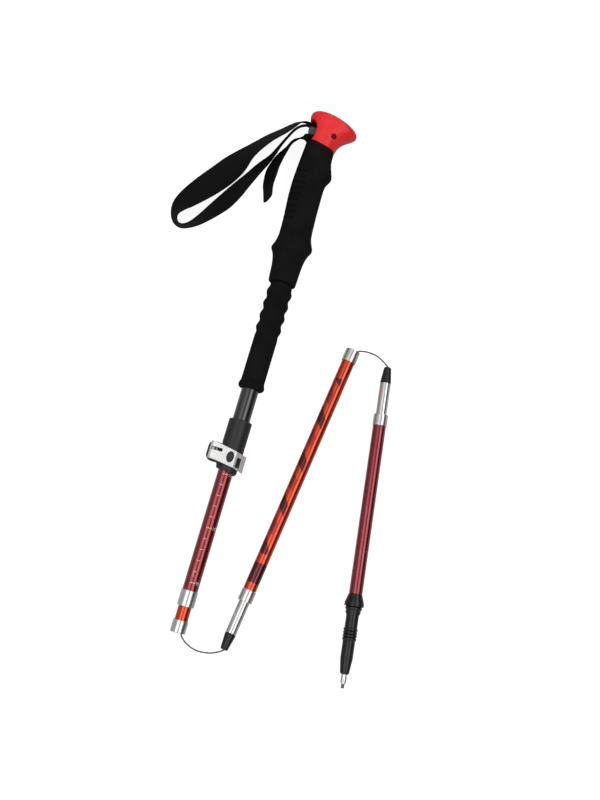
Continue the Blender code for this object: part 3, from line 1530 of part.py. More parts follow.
mouth_1 = handle_matrix @ Vector((0, 0, -CABLE_GAP))
fold_1 = hinge_between(
    middle_matrix.translation, down(middle_matrix), mouth_1, -down(handle_matrix)
)
mouth_2 = straight_lower.translation
fold_2 = hinge_between(
    lower_matrix.translation, down(lower_matrix), mouth_2, down(middle_matrix)
)
fold_1_axis = empty_at("fold_1_axis", sleeve_slide, axis_matrix(fold_1[0], fold_1[1]))
middle = empty_at("middle_section", fold_1_axis, middle_matrix)
fold_2_axis = empty_at("fold_2_axis", middle, axis_matrix(fold_2[0], fold_2[1]))
lower = empty_at("lower_section", fold_2_axis, lower_matrix)

grip_head(handle, finish)
strap_pin(handle, finish)
wrist_strap(handle, finish)
strap_wedge(handle, finish)
foam_grip(handle, finish)
foam_extension(handle, finish)
upper_tube(handle, finish)
clamp_collar(handle, finish)
cam_washer(handle, finish)
barrel_nut(handle, finish)
clamp_lever(lever_pivot, finish)
tension_screw(screw_axis, finish)
adjuster_knob(screw_axis, finish)
scale_group(scale_slide, finish)
sleeve_group(sleeve_slide, finish)
lock_button(button_axis, finish)
middle_section(middle, finish)
lower_section(lower, finish)
first_mouth = handle_matrix @ Matrix.Scale(-1, 4, (0, 0, 1))
free_cable("cable_bend_1", BEND_1, first_mouth, middle_matrix, fold_1_axis, finish)
nose_cable("middle_cable", fold_1_axis, middle_matrix, finish)
free_cable("cable_bend_2", BEND_2, second_mouth, lower_matrix, fold_2_axis, finish)
nose_cable("lower_cable", fold_2_axis, lower_matrix, finish)

set_on_origin(root)
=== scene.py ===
"""The looks of a folding trekking pole, folded and lying on a pale studio floor. Metres, +Z up."""

import json
import math

import bmesh
import bpy
import numpy as np
from mathutils import Matrix, Vector

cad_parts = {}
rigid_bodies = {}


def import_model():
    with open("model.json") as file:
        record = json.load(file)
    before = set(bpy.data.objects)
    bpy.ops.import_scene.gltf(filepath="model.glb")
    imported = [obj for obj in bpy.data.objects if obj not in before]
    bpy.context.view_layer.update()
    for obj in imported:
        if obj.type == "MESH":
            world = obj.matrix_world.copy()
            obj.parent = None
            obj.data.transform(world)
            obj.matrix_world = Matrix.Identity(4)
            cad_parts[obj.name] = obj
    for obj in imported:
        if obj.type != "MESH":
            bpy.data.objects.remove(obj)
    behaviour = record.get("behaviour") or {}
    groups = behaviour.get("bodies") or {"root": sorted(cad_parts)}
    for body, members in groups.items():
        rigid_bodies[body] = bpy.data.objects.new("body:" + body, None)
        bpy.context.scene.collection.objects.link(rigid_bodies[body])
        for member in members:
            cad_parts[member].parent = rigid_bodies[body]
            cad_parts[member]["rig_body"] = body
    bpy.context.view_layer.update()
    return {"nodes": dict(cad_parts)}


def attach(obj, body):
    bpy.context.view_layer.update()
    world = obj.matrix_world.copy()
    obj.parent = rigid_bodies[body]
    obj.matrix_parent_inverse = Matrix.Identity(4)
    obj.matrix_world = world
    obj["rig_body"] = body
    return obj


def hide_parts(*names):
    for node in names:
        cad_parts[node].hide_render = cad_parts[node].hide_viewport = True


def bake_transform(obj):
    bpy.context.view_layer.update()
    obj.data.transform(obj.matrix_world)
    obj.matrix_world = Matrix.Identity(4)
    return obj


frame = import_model()
nodes = frame["nodes"]


# Studio. The pole lies on a white table under a broad soft box, with a narrow brighter one beside
# it, both along the tubes, so that every tube carries one wide and one narrow streak.
def new_material(name):
    """A node material and its Principled shader."""
    made = bpy.data.materials.new(name)
    made.use_nodes = True
    return made, made.node_tree.nodes["Principled BSDF"]


def set_sockets(node, **values):
    for name, value in values.items():
        node.inputs[name.replace("_", " ")].default_value = value
    return node


def add_node(tree, kind, **settings):
    made = tree.nodes.new(kind)
    for name, value in settings.items():
        setattr(made, name, value)
    return made


def link(tree, start, end):
    tree.links.new(start, end)


def figure(tree, operation, *values):
    """One Math node, fed with numbers and sockets. It gives back its output."""
    node = add_node(tree, "ShaderNodeMath", operation=operation)
    for socket, value in zip(node.inputs, values):
        if isinstance(value, (int, float)):
            socket.default_value = value
        else:
            link(tree, value, socket)
    return node.outputs[0]


def split(tree, vector):
    """A vector's numbers, as outputs named X, Y and Z."""
    node = add_node(tree, "ShaderNodeSeparateXYZ")
    link(tree, vector, node.inputs[0])
    return node.outputs


def joined(tree, **numbers):
    """A vector made from sockets for its X, Y or Z."""
    node = add_node(tree, "ShaderNodeCombineXYZ")
    for letter, number in numbers.items():
        link(tree, number, node.inputs[letter])
    return node.outputs[0]


def new_piece(name, data):
    piece = bpy.data.objects.new(name, data)
    bpy.context.scene.collection.objects.link(piece)
    return piece


def build_floor():
    """The white table. Metal mirrors it dimmer than it looks, so tubes keep dark flanks."""
    half, below = 3.0, 0.0002
    to_camera, to_mirrors = 0.90, 0.14
    data = bpy.data.meshes.new("table")
    corners = [(-half, -half, 0), (half, -half, 0), (half, half, 0), (-half, half, 0)]
    data.from_pydata(corners, [], [(0, 1, 2, 3)])
    table = new_piece("table", data)
    white, shader = new_material("white_table")
    set_sockets(shader, Base_Color=(0.32, 0.32, 0.32, 1), Roughness=0.9, Specular_IOR_Level=0.0)
    set_sockets(shader, Emission_Color=(1, 1, 1, 1))
    tree = white.node_tree
    paths = add_node(tree, "ShaderNodeLightPath").outputs
    mirrored = figure(tree, "MAXIMUM", paths["Is Glossy Ray"], paths["Is Transmission Ray"])
    seen = figure(tree, "MULTIPLY", paths["Is Camera Ray"], to_camera)
    lift = figure(tree, "MULTIPLY_ADD", mirrored, to_mirrors, seen)
    link(tree, lift, shader.inputs["Emission Strength"])
    data.materials.append(white)
    table.location.z = -below


def strip_lights(tree, share, stops):
    """Soft boxes as bands of the angle across the tubes, which starts and ends straight down."""
    strongest = max(strength for _, strength in stops)
    ramp = add_node(tree, "ShaderNodeValToRGB")
    band = ramp.color_ramp
    band.elements[0].position = 0.0
    band.elements[1].position = 1.0
    for degrees, _ in stops[1:-1]:
        band.elements.new((degrees + 180) / 360)
    for stop, (_, strength) in zip(band.elements, stops):
        stop.color = (*(strength / strongest,) * 3, 1)
    link(tree, share, ramp.inputs["Fac"])
    return figure(tree, "MULTIPLY", ramp.outputs["Color"], strongest)


def build_sky():
    """Two long soft boxes in a dim room. The left one fades towards the top of the picture."""
    world = bpy.data.worlds.new("soft_boxes")
    bpy.context.scene.world = world
    world.use_nodes = True
    tree = world.node_tree
    towards = split(tree, add_node(tree, "ShaderNodeTexCoord").outputs["Generated"])
    angle = figure(tree, "ARCTAN2", towards["X"], towards["Z"])
    share = figure(tree, "MULTIPLY_ADD", angle, 1 / (2 * math.pi), 0.5)
    right_box = (
        (-180, 0.12), (-98, 0.12), (-84, 0.36), (-56, 0.46), (-46, 0.46), (-40, 0.30), (6, 0.30),
        (16, 0.34), (22, 2.10), (44, 2.05), (51, 0.28), (60, 0.09), (100, 0.08), (180, 0.08),
    )
    left_box = ((-180, 0.0), (-42, 0.0), (-34, 1.40), (-7, 1.50), (1, 0.12), (8, 0.0), (180, 0.0))
    fade = add_node(tree, "ShaderNodeMapRange", interpolation_type="SMOOTHSTEP")
    set_sockets(fade, From_Min=0.05, From_Max=0.17, To_Min=1.0, To_Max=0.40)
    link(tree, towards["Y"], fade.inputs["Value"])
    left = figure(tree, "MULTIPLY", strip_lights(tree, share, left_box), fade.outputs[0])
    total = figure(tree, "ADD", strip_lights(tree, share, right_box), left)
    glow = tree.nodes["Background"]
    link(tree, total, glow.inputs["Strength"])
    set_sockets(glow, Color=(1, 1, 1, 1))
    plain = add_node(tree, "ShaderNodeBackground")
    set_sockets(plain, Color=(1, 1, 1, 1), Strength=1.0)
    mix = add_node(tree, "ShaderNodeMixShader")
    link(tree, add_node(tree, "ShaderNodeLightPath").outputs["Is Camera Ray"], mix.inputs["Fac"])
    link(tree, glow.outputs[0], mix.inputs[1])
    link(tree, plain.outputs[0], mix.inputs[2])
    link(tree, mix.outputs[0], tree.nodes["World Output"].inputs["Surface"])


build_floor()
build_sky()
bpy.context.scene.view_settings.view_transform = "Standard"


# Camera. A long lens looks down on the table from a metre above it, turned a little from the handle
# and leaning back along it. The three sections of the pole lie where lay() puts them.
def lay(at, turn, slope):
    """Where a section lies: along its own +Z, with its front, -Y, facing up."""
    stand = Matrix.Rotation(math.radians(-90), 4, "X")
    tilt = Matrix.Rotation(math.atan(slope), 4, "X")
    spin = Matrix.Rotation(math.radians(turn), 4, "Z")
    return Matrix.Translation(at) @ spin @ tilt @ stand


HANDLE = lay((-0.01507, -0.247101, 0.007891), 0, 0.019841)
MIDDLE = lay((0.02823, -0.249901, 0.006686), -7.30, 0.001001)
LOWER = lay((0.100676, 0.03591, 0.006189), 187.16, 0.012014)


def build_camera():
    """The lens's sizes are in pixels of a picture 800 high, with its middle on a pixel's corner."""
    high, focal_length, to_corner = 800, 1100, 0.5
    sensor = 24.0
    aside, along_it, reach = 0.09881, 0.04835, 0.988
    lean = math.radians(10.8)
    turn_cos, turn_sin = 0.96142, 0.27509
    across, along, down = (HANDLE.col[i].to_3d() for i in (0, 2, 1))
    up = -down
    place = HANDLE.translation + across * aside + along * along_it + up * reach
    right = across * turn_cos + along * turn_sin
    ahead = across * -turn_sin + along * turn_cos
    top = ahead * math.cos(lean) + up * math.sin(lean)
    back = up * math.cos(lean) - ahead * math.sin(lean)
    lens = bpy.data.cameras.new("camera")
    lens.sensor_fit = "VERTICAL"
    lens.sensor_height = sensor
    lens.lens = sensor * focal_length / high
    lens.shift_x = -to_corner / high
    lens.shift_y = to_corner / high
    lens.clip_start, lens.clip_end = 0.01, 20.0
    camera = new_piece("camera", lens)
    facing = Matrix((right, top, back)).transposed().to_4x4()
    camera.matrix_world = Matrix.Translation(place) @ facing
    bpy.context.scene.camera = camera


build_camera()


# Inner cable. A plastic-coated steel cable, 1.4 mm thick, runs through the whole pole and pulls it
# straight. It shows only between the sections: out of a mouth, round a low bow, into the next nose.
CABLE = 0.0014
MILLIMETRES = 1000


def smooth_line(points, steps):
    """A smooth line through points of any dimension, with so many steps between two of them."""
    found = []
    for i in range(len(points) - 1):
        before, start = Vector(points[max(i - 1, 0)]), Vector(points[i])
        end, after = Vector(points[i + 1]), Vector(points[min(i + 2, len(points) - 1)])
        for step in range(steps):
            t = step / steps
            bend = (2 * before - 5 * start + 4 * end - after) * t**2
            twist = (3 * start - before - 3 * end + after) * t**3
            found.append((2 * start + (end - before) * t + bend + twist) / 2)
    return found + [Vector(points[-1])]


def skin_over(name, rings, pattern):
    """A smooth closed skin over rings of points, with a UV map from pattern(ring, corner)."""
    data = bpy.data.meshes.new(name)
    count, last = len(rings[0]), len(rings) - 1
    points = [point for ring in rings for point in ring]
    faces, spots = [], []
    for i in range(last):
        for j in range(count):
            k = (j + 1) % count
            faces.append((i * count + j, i * count + k, (i + 1) * count + k, (i + 1) * count + j))
            spots += [(i, j), (i, j + 1), (i + 1, j + 1), (i + 1, j)]
    faces += [tuple(reversed(range(count))), tuple(range(last * count, len(points)))]
    spots += [(0, j) for j in reversed(range(count))] + [(last, j) for j in range(count)]
    data.from_pydata(points, [], faces)
    data.shade_smooth()
    layer = data.uv_layers.new(name="along_the_piece")
    for loop, spot in zip(layer.data, spots):
        loop.uv = pattern(*spot)
    return new_piece(name, data)


def wire(name, points):
    """A round wire along a line, mapped round it in turns and along it in millimetres."""
    sides, lengths = 12, [0.0]
    for start, end in zip(points, points[1:]):
        lengths.append(lengths[-1] + (end - start).length)
    rings = []
    side = (points[1] - points[0]).orthogonal().normalized()
    for i, at in enumerate(points):
        along = (points[min(i + 1, len(points) - 1)] - points[max(i - 1, 0)]).normalized()
        side = (side - along * side.dot(along)).normalized()
        over = along.cross(side)
        turns = [2 * math.pi * j / sides for j in range(sides)]
        rings.append([at + (side * math.cos(a) + over * math.sin(a)) * CABLE / 2 for a in turns])
    return skin_over(name, rings, lambda i, j: (j / sides, lengths[i] * MILLIMETRES))


def relief(tree, shader, height, strength, depth):
    bump = add_node(tree, "ShaderNodeBump")
    set_sockets(bump, Strength=strength, Distance=depth)
    link(tree, height, bump.inputs["Height"])
    link(tree, bump.outputs[0], shader.inputs["Normal"])


def spread_value(tree, value, low, high, start=0.3, end=0.7):
    """A mask stretched to run from low to high, over the part of it from start to end."""
    node = add_node(tree, "ShaderNodeMapRange")
    set_sockets(node, From_Min=start, From_Max=end, To_Min=low, To_Max=high)
    link(tree, value, node.inputs["Value"])
    return node.outputs[0]


def on_the_map(tree):
    """Where a point lies on its piece's own UV map, as outputs named X and Y."""
    return split(tree, add_node(tree, "ShaderNodeUVMap", uv_map="along_the_piece").outputs[0])


def ribs(tree, place, each=1):
    """Rounded ribs from 0 to 1 high, so many to each unit of place."""
    wave = figure(tree, "SINE", figure(tree, "MULTIPLY", place, math.pi * each))
    return figure(tree, "ABSOLUTE", wave)


def cable_coating():
    """Dark grey plastic, thin enough that the strands show through it as a slow twist."""
    made, shader = new_material("coated_cable")
    set_sockets(shader, Roughness=0.38, Coat_Weight=0.25, Coat_Roughness=0.15)
    tree = made.node_tree
    lay_length, strands = 9.0, 7
    at = on_the_map(tree)
    twisted = figure(tree, "MULTIPLY_ADD", at["Y"], 1 / lay_length, at["X"])
    strand = ribs(tree, twisted, strands)
    link(tree, spread_value(tree, strand, 0.035, 0.085, 0, 1), shader.inputs["Base Color"])
    relief(tree, shader, strand, 0.5, 0.00008)
    return made


def build_cables():
    """Both free bows, from a mouth to 2.5 mm inside the next nose, and the cable inside the pole.
    A point is across a section, and along it from its mouth on a bow, or else from its origin."""
    coating = cable_coating()
    handle_mouth, middle_mouth = (HANDLE, 0.0), (MIDDLE, 0.2947)
    at_nose, in_nose = -0.0004, 0.0025
    bow_1 = (
        (0.0027, 0.0030),
        (0.0036, -0.0006),
        (0.0060, -0.0036),
        (0.0098, -0.0064),
        (0.0160, -0.0091),
        (0.0230, -0.0101),
        (0.0315, -0.0091),
        (0.0380, -0.0066),
    )
    bow_2 = (
        (0.0027, -0.0030),
        (0.0040, 0.0004),
        (0.0066, 0.0023),
        (0.0120, 0.0038),
        (0.0180, 0.0043),
        (0.0230, 0.0038),
        (0.0290, 0.0017),
    )
    bows = (
        ("cable_bow_1", handle_mouth, bow_1, MIDDLE, "tension_sleeve", "mid_cable", "cable_bend_1"),
        ("cable_bow_2", middle_mouth, bow_2, LOWER, "middle_section", "low_cable", "cable_bend_2"),
    )
    for name, (section, mouth), bow, nose, from_body, to_body, node in bows:
        points = [section @ Vector((across, 0, mouth + along)) for across, along in bow]
        points += [nose @ Vector((0, 0, along)) for along in (at_nose, in_nose)]
        route = smooth_line(points, steps=8)
        piece = wire(name, route)
        piece.data.materials.append(coating)
        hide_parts(node)
        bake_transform(piece)
    upper = ((0, 0.135), (0, 0.0451), (0, 0.0231), (0.0015, 0.0070), (0.0026, 0.0034))
    behind_nose = ((0, 0.0028), (0, 0.03), (0, 0.070))
    to_mouth = ((0, 0.1268), (0, 0.1668), (0, 0.2727), (0.0015, 0.2877), (0.0026, 0.2913))
    to_anchor = ((0, 0.1268), (0, 0.1328), (0, 0.1438))
    inside = (
        ("upper_cable", HANDLE, "tension_sleeve", upper),
        ("middle_cable", MIDDLE, "mid_cable", behind_nose),
        ("middle_cable_end", MIDDLE, "middle_section", to_mouth),
        ("lower_cable", LOWER, "low_cable", behind_nose),
        ("lower_cable_end", LOWER, "lower_section", to_anchor),
    )
    for node, section, body, points in inside:
        points = [section @ Vector((across, 0, along)) for across, along in points]
        piece = wire(node + "_strand", smooth_line(points, steps=6))
        piece.data.materials.append(coating)
        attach(piece, body)
        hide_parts(node)


build_cables()


# Foam. The grip and its ringed extension are dense black closed-cell foam, turned and pressed to
# shape and pushed over the upper tube. The grip has a ladder of short grooves on its left side.
SEAM = 0.4716
GRIP_BOTTOM = 0.3310


def along_section(tree, section):
    """Object coordinates turned into a section's own: across, back and along from its origin."""
    where = add_node(tree, "ShaderNodeTexCoord")
    turn = add_node(tree, "ShaderNodeMapping")
    back = section.inverted()
    set_sockets(turn, Location=back.translation, Rotation=back.to_euler())
    link(tree, where.outputs["Object"], turn.inputs["Vector"])
    return turn.outputs[0]


def new_group(name, inputs, outputs, kind="Shader"):
    """An empty node group with named sockets. It gives back the tree and its two end nodes."""
    tree = bpy.data.node_groups.new(name, kind + "NodeTree")
    for label, sort, value in inputs:
        socket = tree.interface.new_socket(label, in_out="INPUT", socket_type="NodeSocket" + sort)
        if value is not None:
            socket.default_value = value
    for label, sort in outputs:
        tree.interface.new_socket(label, in_out="OUTPUT", socket_type="NodeSocket" + sort)
    return tree, add_node(tree, "NodeGroupInput").outputs, add_node(tree, "NodeGroupOutput").inputs


def drawn_out(tree, given):
    """The place given to a group, in steps of the given size, which are longer along Z."""
    fine = figure(tree, "DIVIDE", 1.0, given["Size"])
    long = figure(tree, "DIVIDE", fine, given["Drawn Out"])
    spread = add_node(tree, "ShaderNodeVectorMath", operation="MULTIPLY")
    link(tree, given["Vector"], spread.inputs[0])
    link(tree, joined(tree, X=fine, Y=fine, Z=long), spread.inputs[1])
    return spread.outputs[0]


def noise_at(tree, where, **values):
    node = add_node(tree, "ShaderNodeTexNoise")
    set_sockets(node, **values)
    link(tree, where, node.inputs["Vector"])
    return node


def build_grain():
    """Fine grain of a given size in metres, which can be drawn out along Z, and a slow shade."""
    inputs = (
        ("Vector", "Vector", None),
        ("Size", "Float", 0.001),
        ("Drawn Out", "Float", 1.0),
        ("Patch", "Float", 0.02),
    )
    tree, given, result = new_group("grain", inputs, (("Height", "Float"), ("Shade", "Float")))
    speckle = noise_at(tree, drawn_out(tree, given), Scale=1.0, Detail=2.0)
    slow = noise_at(tree, given["Vector"], Detail=1.0)
    link(tree, figure(tree, "DIVIDE", 1.0, given["Patch"]), slow.inputs["Scale"])
    link(tree, speckle.outputs["Fac"], result["Height"])
    link(tree, slow.outputs["Fac"], result["Shade"])
    return tree


GRAIN = build_grain()


def from_group(tree, group, where, **values):
    """A node group placed in a tree with these values. It gives back the group's outputs."""
    node = add_node(tree, "ShaderNodeGroup", node_tree=group)
    set_sockets(node, **values)
    link(tree, where, node.inputs["Vector"])
    return node.outputs


def grain_on(tree, where, **values):
    return from_group(tree, GRAIN, where, **values)


def new_finish(name, section, **sockets):
    """A material with its plain sockets set: the material, its shader, its tree and the place on a
    section that its detail follows."""
    made, shader = new_material(name)
    set_sockets(shader, **sockets)
    return made, shader, made.node_tree, along_section(made.node_tree, section)


def two_tone(tree, share, first, second):
    """A mix of two colours, each a colour or a socket."""
    node = add_node(tree, "ShaderNodeMix", data_type="RGBA")
    link(tree, share, node.inputs[0])
    for letter, colour in (("A", first), ("B", second)):
        if isinstance(colour, tuple):
            node.inputs[letter].default_value = (*colour, 1)
        else:
            link(tree, colour, node.inputs[letter])
    return node.outputs["Result"]


def tones(tree, mask, dark, light):
    """A colour between two tones, by a mask that stays near its middle."""
    return two_tone(tree, spread_value(tree, mask, 0, 1), dark, light)


def paint(tree, shader, colour):
    link(tree, colour, shader.inputs["Base Color"])


def roughen(tree, shader, mask, low, high):
    link(tree, spread_value(tree, mask, low, high), shader.inputs["Roughness"])


def add_modifier(piece, kind, **settings):
    made = piece.modifiers.new(kind.lower(), kind)
    for name, value in settings.items():
        setattr(made, name, value)
    return made


def settled_mesh(piece):
    """What a piece looks like with its modifiers, as a mesh of its own."""
    bpy.context.view_layer.update()
    seen = piece.evaluated_get(bpy.context.evaluated_depsgraph_get())
    return bpy.data.meshes.new_from_object(seen)


def settle(piece):
    """Applies a piece's modifiers and leaves it a plain mesh."""
    data = settled_mesh(piece)
    piece.modifiers.clear()
    piece.data = data
    return piece


def opened(node):
    """A copy of a CAD node's mesh, and the same with its triangles joined, open for editing."""
    data = nodes[node].data.copy()
    data.materials.clear()
    mesh = bmesh.new()
    mesh.from_mesh(data)
    bmesh.ops.remove_doubles(mesh, verts=mesh.verts, dist=1e-6)
    return data, mesh


def soft_copy(name, node, voxel, passes, fills=()):
    """A CAD node's own form with a fine skin and softened edges, ready for carving. Each fill is a
    ball, a place on the handle and a radius, that closes a hole where a wall runs out."""
    data, mesh = opened(node)
    for place, radius in fills:
        ball = HANDLE @ Matrix.Translation(place)
        bmesh.ops.create_icosphere(mesh, subdivisions=3, radius=radius, matrix=ball)
    mesh.to_mesh(data)
    mesh.free()
    piece = new_piece(name, data)
    add_modifier(piece, "REMESH", mode="VOXEL", voxel_size=voxel)
    add_modifier(piece, "SMOOTH", factor=0.5, iterations=passes)
    settle(piece)
    piece.data.shade_smooth()
    return piece


def foam_finish():
    """Cells of 0.4 mm in a skin that is a little uneven."""
    cell = 0.00042
    dark, light = (0.0040, 0.0039, 0.0038), (0.0068, 0.0066, 0.0064)
    made, shader, tree, where = new_finish(
        "foam_black", HANDLE, Roughness=0.92, Specular_IOR_Level=0.12
    )
    cells = add_node(tree, "ShaderNodeTexVoronoi")
    set_sockets(cells, Scale=1 / cell)
    link(tree, where, cells.inputs["Vector"])
    grain = grain_on(tree, where, Size=0.0011, Patch=0.016)
    pores = spread_value(tree, cells.outputs["Distance"], 0.0, 1.0, 0.15, 0.65)
    paint(tree, shader, tones(tree, grain["Shade"], dark, light))
    relief(tree, shader, figure(tree, "MULTIPLY_ADD", grain["Height"], 0.8, pores), 0.55, 0.00016)
    return made


def carve_grip(piece):
    """Presses the ladder of grooves and the faint mould line into the grip's skin. The grooves fade
    at their right and hind ends, and nothing is pressed inside the bore."""
    first, pitch, count = SEAM - 0.0311, 0.00606, 9
    half_width, depth = 0.0011, 0.0016
    left_end, right_end, hind_end = -0.0186, -0.0062, 0.001
    right_fade, hind_fade = 0.0016, 0.003
    line, line_half_width, line_depth = GRIP_BOTTOM + 0.0336, 0.0007, 0.00025
    bore = 0.0093
    back = HANDLE.inverted()
    for vertex in piece.data.vertices:
        at = back @ vertex.co
        sunk = 0.0
        if left_end < at.x < right_end and at.y < hind_end:
            near = round((first - at.z) / pitch)
            if 0 <= near < count:
                off = abs(first - pitch * near - at.z) / half_width
                fade = min(1.0, (right_end - at.x) / right_fade)
                fade *= min(1.0, (hind_end - at.y) / hind_fade)
                sunk = depth * max(0.0, 1 - off * off) * fade
        off = abs(line - at.z) / line_half_width
        sunk += line_depth * max(0.0, 1 - off * off)
        if sunk and math.hypot(at.x, at.y) > bore:
            out = Vector((at.x, at.y, 0)).normalized()
            vertex.co = HANDLE @ (at - out * sunk)


def build_foam():
    finish = foam_finish()
    grip = soft_copy("grip_foam", "foam_grip", voxel=0.00065, passes=3)
    carve_grip(grip)
    rings = soft_copy("extension_foam", "foam_extension", voxel=0.00060, passes=3)
    for piece, node in ((grip, "foam_grip"), (rings, "foam_extension")):
        piece.data.materials.append(finish)
        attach(piece, "handle")
        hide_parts(node)


build_foam()


# Head. One moulding of satin red plastic over the end of the foam and the tube. A notch on its left
# lets the webbing and its wedge into a pocket, and a steel pin lies across it, sunk in its holes.
PIN_ACROSS = 0.0081
PIN_ABOVE_SEAM = 0.0087


def head_finish():
    """Satin plastic that lets a little light in, under a faint gloss."""
    made, shader, tree, where = new_finish(
        "head_red",
        HANDLE,
        Coat_Weight=0.16,
        Coat_Roughness=0.30,
        Specular_IOR_Level=0.30,
        Subsurface_Weight=0.04,
        Subsurface_Scale=0.002,
        Subsurface_Radius=(1.0, 0.3, 0.2),
    )
    grain = grain_on(tree, where, Size=0.00045, Patch=0.014)
    paint(tree, shader, tones(tree, grain["Shade"], (0.74, 0.014, 0.019), (0.84, 0.021, 0.027)))
    roughen(tree, shader, grain["Shade"], 0.34, 0.46)
    relief(tree, shader, grain["Height"], 0.35, 0.00005)
    return made


def even_out(piece, passes, free):
    """Moves each point halfway to its neighbours' middle, times its share of freedom, 0 to 1."""
    data = piece.data
    count = len(data.vertices)
    spots = np.empty(count * 3)
    data.vertices.foreach_get("co", spots)
    spots = spots.reshape(-1, 3)
    ends = np.empty(len(data.edges) * 2, np.int64)
    data.edges.foreach_get("vertices", ends)
    one, other = ends.reshape(-1, 2).T
    touching = np.bincount(one, minlength=count) + np.bincount(other, minlength=count)
    step = 0.5 * free(spots)[:, None]
    for _ in range(passes):
        sums = np.empty_like(spots)
        for axis, held in enumerate(spots.T):
            sums[:, axis] = np.bincount(one, held[other], count)
            sums[:, axis] += np.bincount(other, held[one], count)
        spots += (sums / touching[:, None] - spots) * step
    data.vertices.foreach_set("co", spots.ravel())
    data.update()


def open_skin(spots):
    """Where the head's skin is even: away from the pin's hole, the notch and the seam's lip."""
    rim, rim_fade = 0.0029, 0.0030
    notch_edge, notch_fade = -0.0095, 0.0035
    notch_middle, notch_half = 0.0105, 0.0115
    back = np.array(HANDLE.inverted())
    at = spots @ back[:3, :3].T + back[:3, 3]
    across, up = at[:, 0], at[:, 2] - SEAM
    from_pin = np.hypot(across - PIN_ACROSS, up - PIN_ABOVE_SEAM)
    by_pin = np.clip((from_pin - rim) / rim_fade, 0, 1)
    by_notch = np.clip((across - notch_edge) / notch_fade, 0, 1)
    return by_pin * np.where(np.abs(up - notch_middle) < notch_half, by_notch, 1.0)


def build_head():
    """The two fills close the pocket's front and hind corners, where its wall is thinnest."""
    fills = [((0.01093, side * 0.00898, 0.47904), 0.0013) for side in (-1, 1)]
    head = soft_copy("head_moulding", "grip_head", voxel=0.00036, passes=6, fills=fills)
    even_out(head, passes=45, free=open_skin)
    head.data.materials.append(head_finish())
    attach(head, "handle")
    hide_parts("grip_head")


build_head()


# Wrist strap. Black polyester webbing, woven flat with a rolled edge. It goes round the pin, its
# loop lies folded over on the ground, and its heat-cut tail hangs below the wedge that holds it.
WEBBING_WIDTH = 0.0255
WEBBING_THICKNESS = 0.0015


def webbing_route():
    """The strap's middle line on the handle: across, above the seam, towards the front, and its
    lean in degrees. It goes out along the loop and back, round the pin, and leaves as the tail."""
    loop = (
        (-0.0085, 0.0184, 0.0000, 0),
        (-0.0140, 0.0186, 0.0000, 3),
        (-0.0165, 0.0191, 0.0000, 10),
        (-0.0190, 0.0201, 0.0000, 17),
        (-0.0215, 0.0209, -0.0001, 21),
        (-0.0250, 0.0206, -0.0003, 23),
        (-0.0304, 0.0182, -0.0006, 27),
        (-0.0405, 0.0077, -0.0012, 34),
        (-0.0516, -0.0028, -0.0016, 38),
        (-0.0613, -0.0144, -0.0018, 44),
        (-0.0699, -0.0261, -0.0020, 56),
        (-0.0772, -0.0396, -0.0020, 80),
        (-0.0849, -0.0516, -0.0020, 88),
        (-0.0935, -0.0628, -0.0020, 86),
        (-0.1019, -0.0731, -0.0020, 78),
        (-0.1098, -0.0835, -0.0020, 66),
        (-0.1144, -0.0920, -0.0019, 53),
        (-0.1158, -0.1012, -0.0018, 30),
        (-0.1134, -0.1076, -0.0017, 8),
        (-0.1078, -0.1110, -0.0017, -9),
        (-0.1010, -0.1083, -0.0018, -9),
        (-0.0928, -0.1006, -0.0018, 1),
        (-0.0829, -0.0878, -0.0018, 12),
        (-0.0743, -0.0757, -0.0018, 18),
        (-0.0671, -0.0632, -0.0018, 16),
        (-0.0609, -0.0514, -0.0017, 9),
        (-0.0537, -0.0372, -0.0016, 2),
        (-0.0463, -0.0246, -0.0014, -6),
        (-0.0421, -0.0147, -0.0010, -9),
        (-0.0378, -0.0032, -0.0008, -13),
        (-0.0325, 0.0083, -0.0005, -15),
        (-0.0270, 0.0152, -0.0002, -20),
        (-0.0215, 0.0180, -0.0001, -21),
        (-0.0190, 0.0177, 0.0000, -15),
        (-0.0165, 0.0167, 0.0000, -7),
        (-0.0105, 0.0163, 0.0000, 0),
    )
    tail = (
        (-0.0020, 0.0054, 0.0000, 0),
        (-0.0120, 0.0054, 0.0000, 0),
        (-0.0165, 0.0054, 0.0000, 0),
        (-0.0182, 0.0056, 0.0000, 3),
        (-0.0199, 0.0057, 0.0000, 12),
        (-0.0218, 0.0049, -0.0001, 20),
        (-0.0270, 0.0018, -0.0004, 25),
        (-0.0320, -0.0059, -0.0008, 20),
        (-0.0365, -0.0162, -0.0012, 28),
        (-0.0392, -0.0254, -0.0015, 32),
        (-0.0406, -0.0330, -0.0018, 34),
        (-0.0405, -0.0400, -0.0020, 33),
        (-0.0402, -0.0465, -0.0020, 30),
        (-0.0391, -0.0530, -0.0020, 24),
        (-0.0364, -0.0638, -0.0020, 20),
    )
    pin, slack, steps = 0.0044, 0.00035, 16
    radius = pin / 2 + slack + WEBBING_THICKNESS / 2
    turn = []
    for step in range(steps + 1):
        angle = math.radians(100 - 190 * step / steps)
        across = PIN_ACROSS + radius * math.cos(angle)
        turn.append(Vector((across, PIN_ABOVE_SEAM + radius * math.sin(angle), 0, 0)))
    return smooth_line(loop, steps=5) + turn + smooth_line(tail, steps=5)


def gathered(across):
    """Half the webbing's width, which gathers on its way into the head's pocket."""
    outer, half_outer = -0.0260, WEBBING_WIDTH / 2
    for inner, half_inner in ((-0.0130, 0.0098), (-0.0050, 0.0091)):
        if across <= inner:
            share = max(0.0, (across - outer) / (inner - outer))
            return half_outer + (half_inner - half_outer) * share
        outer, half_outer = inner, half_inner
    return half_outer


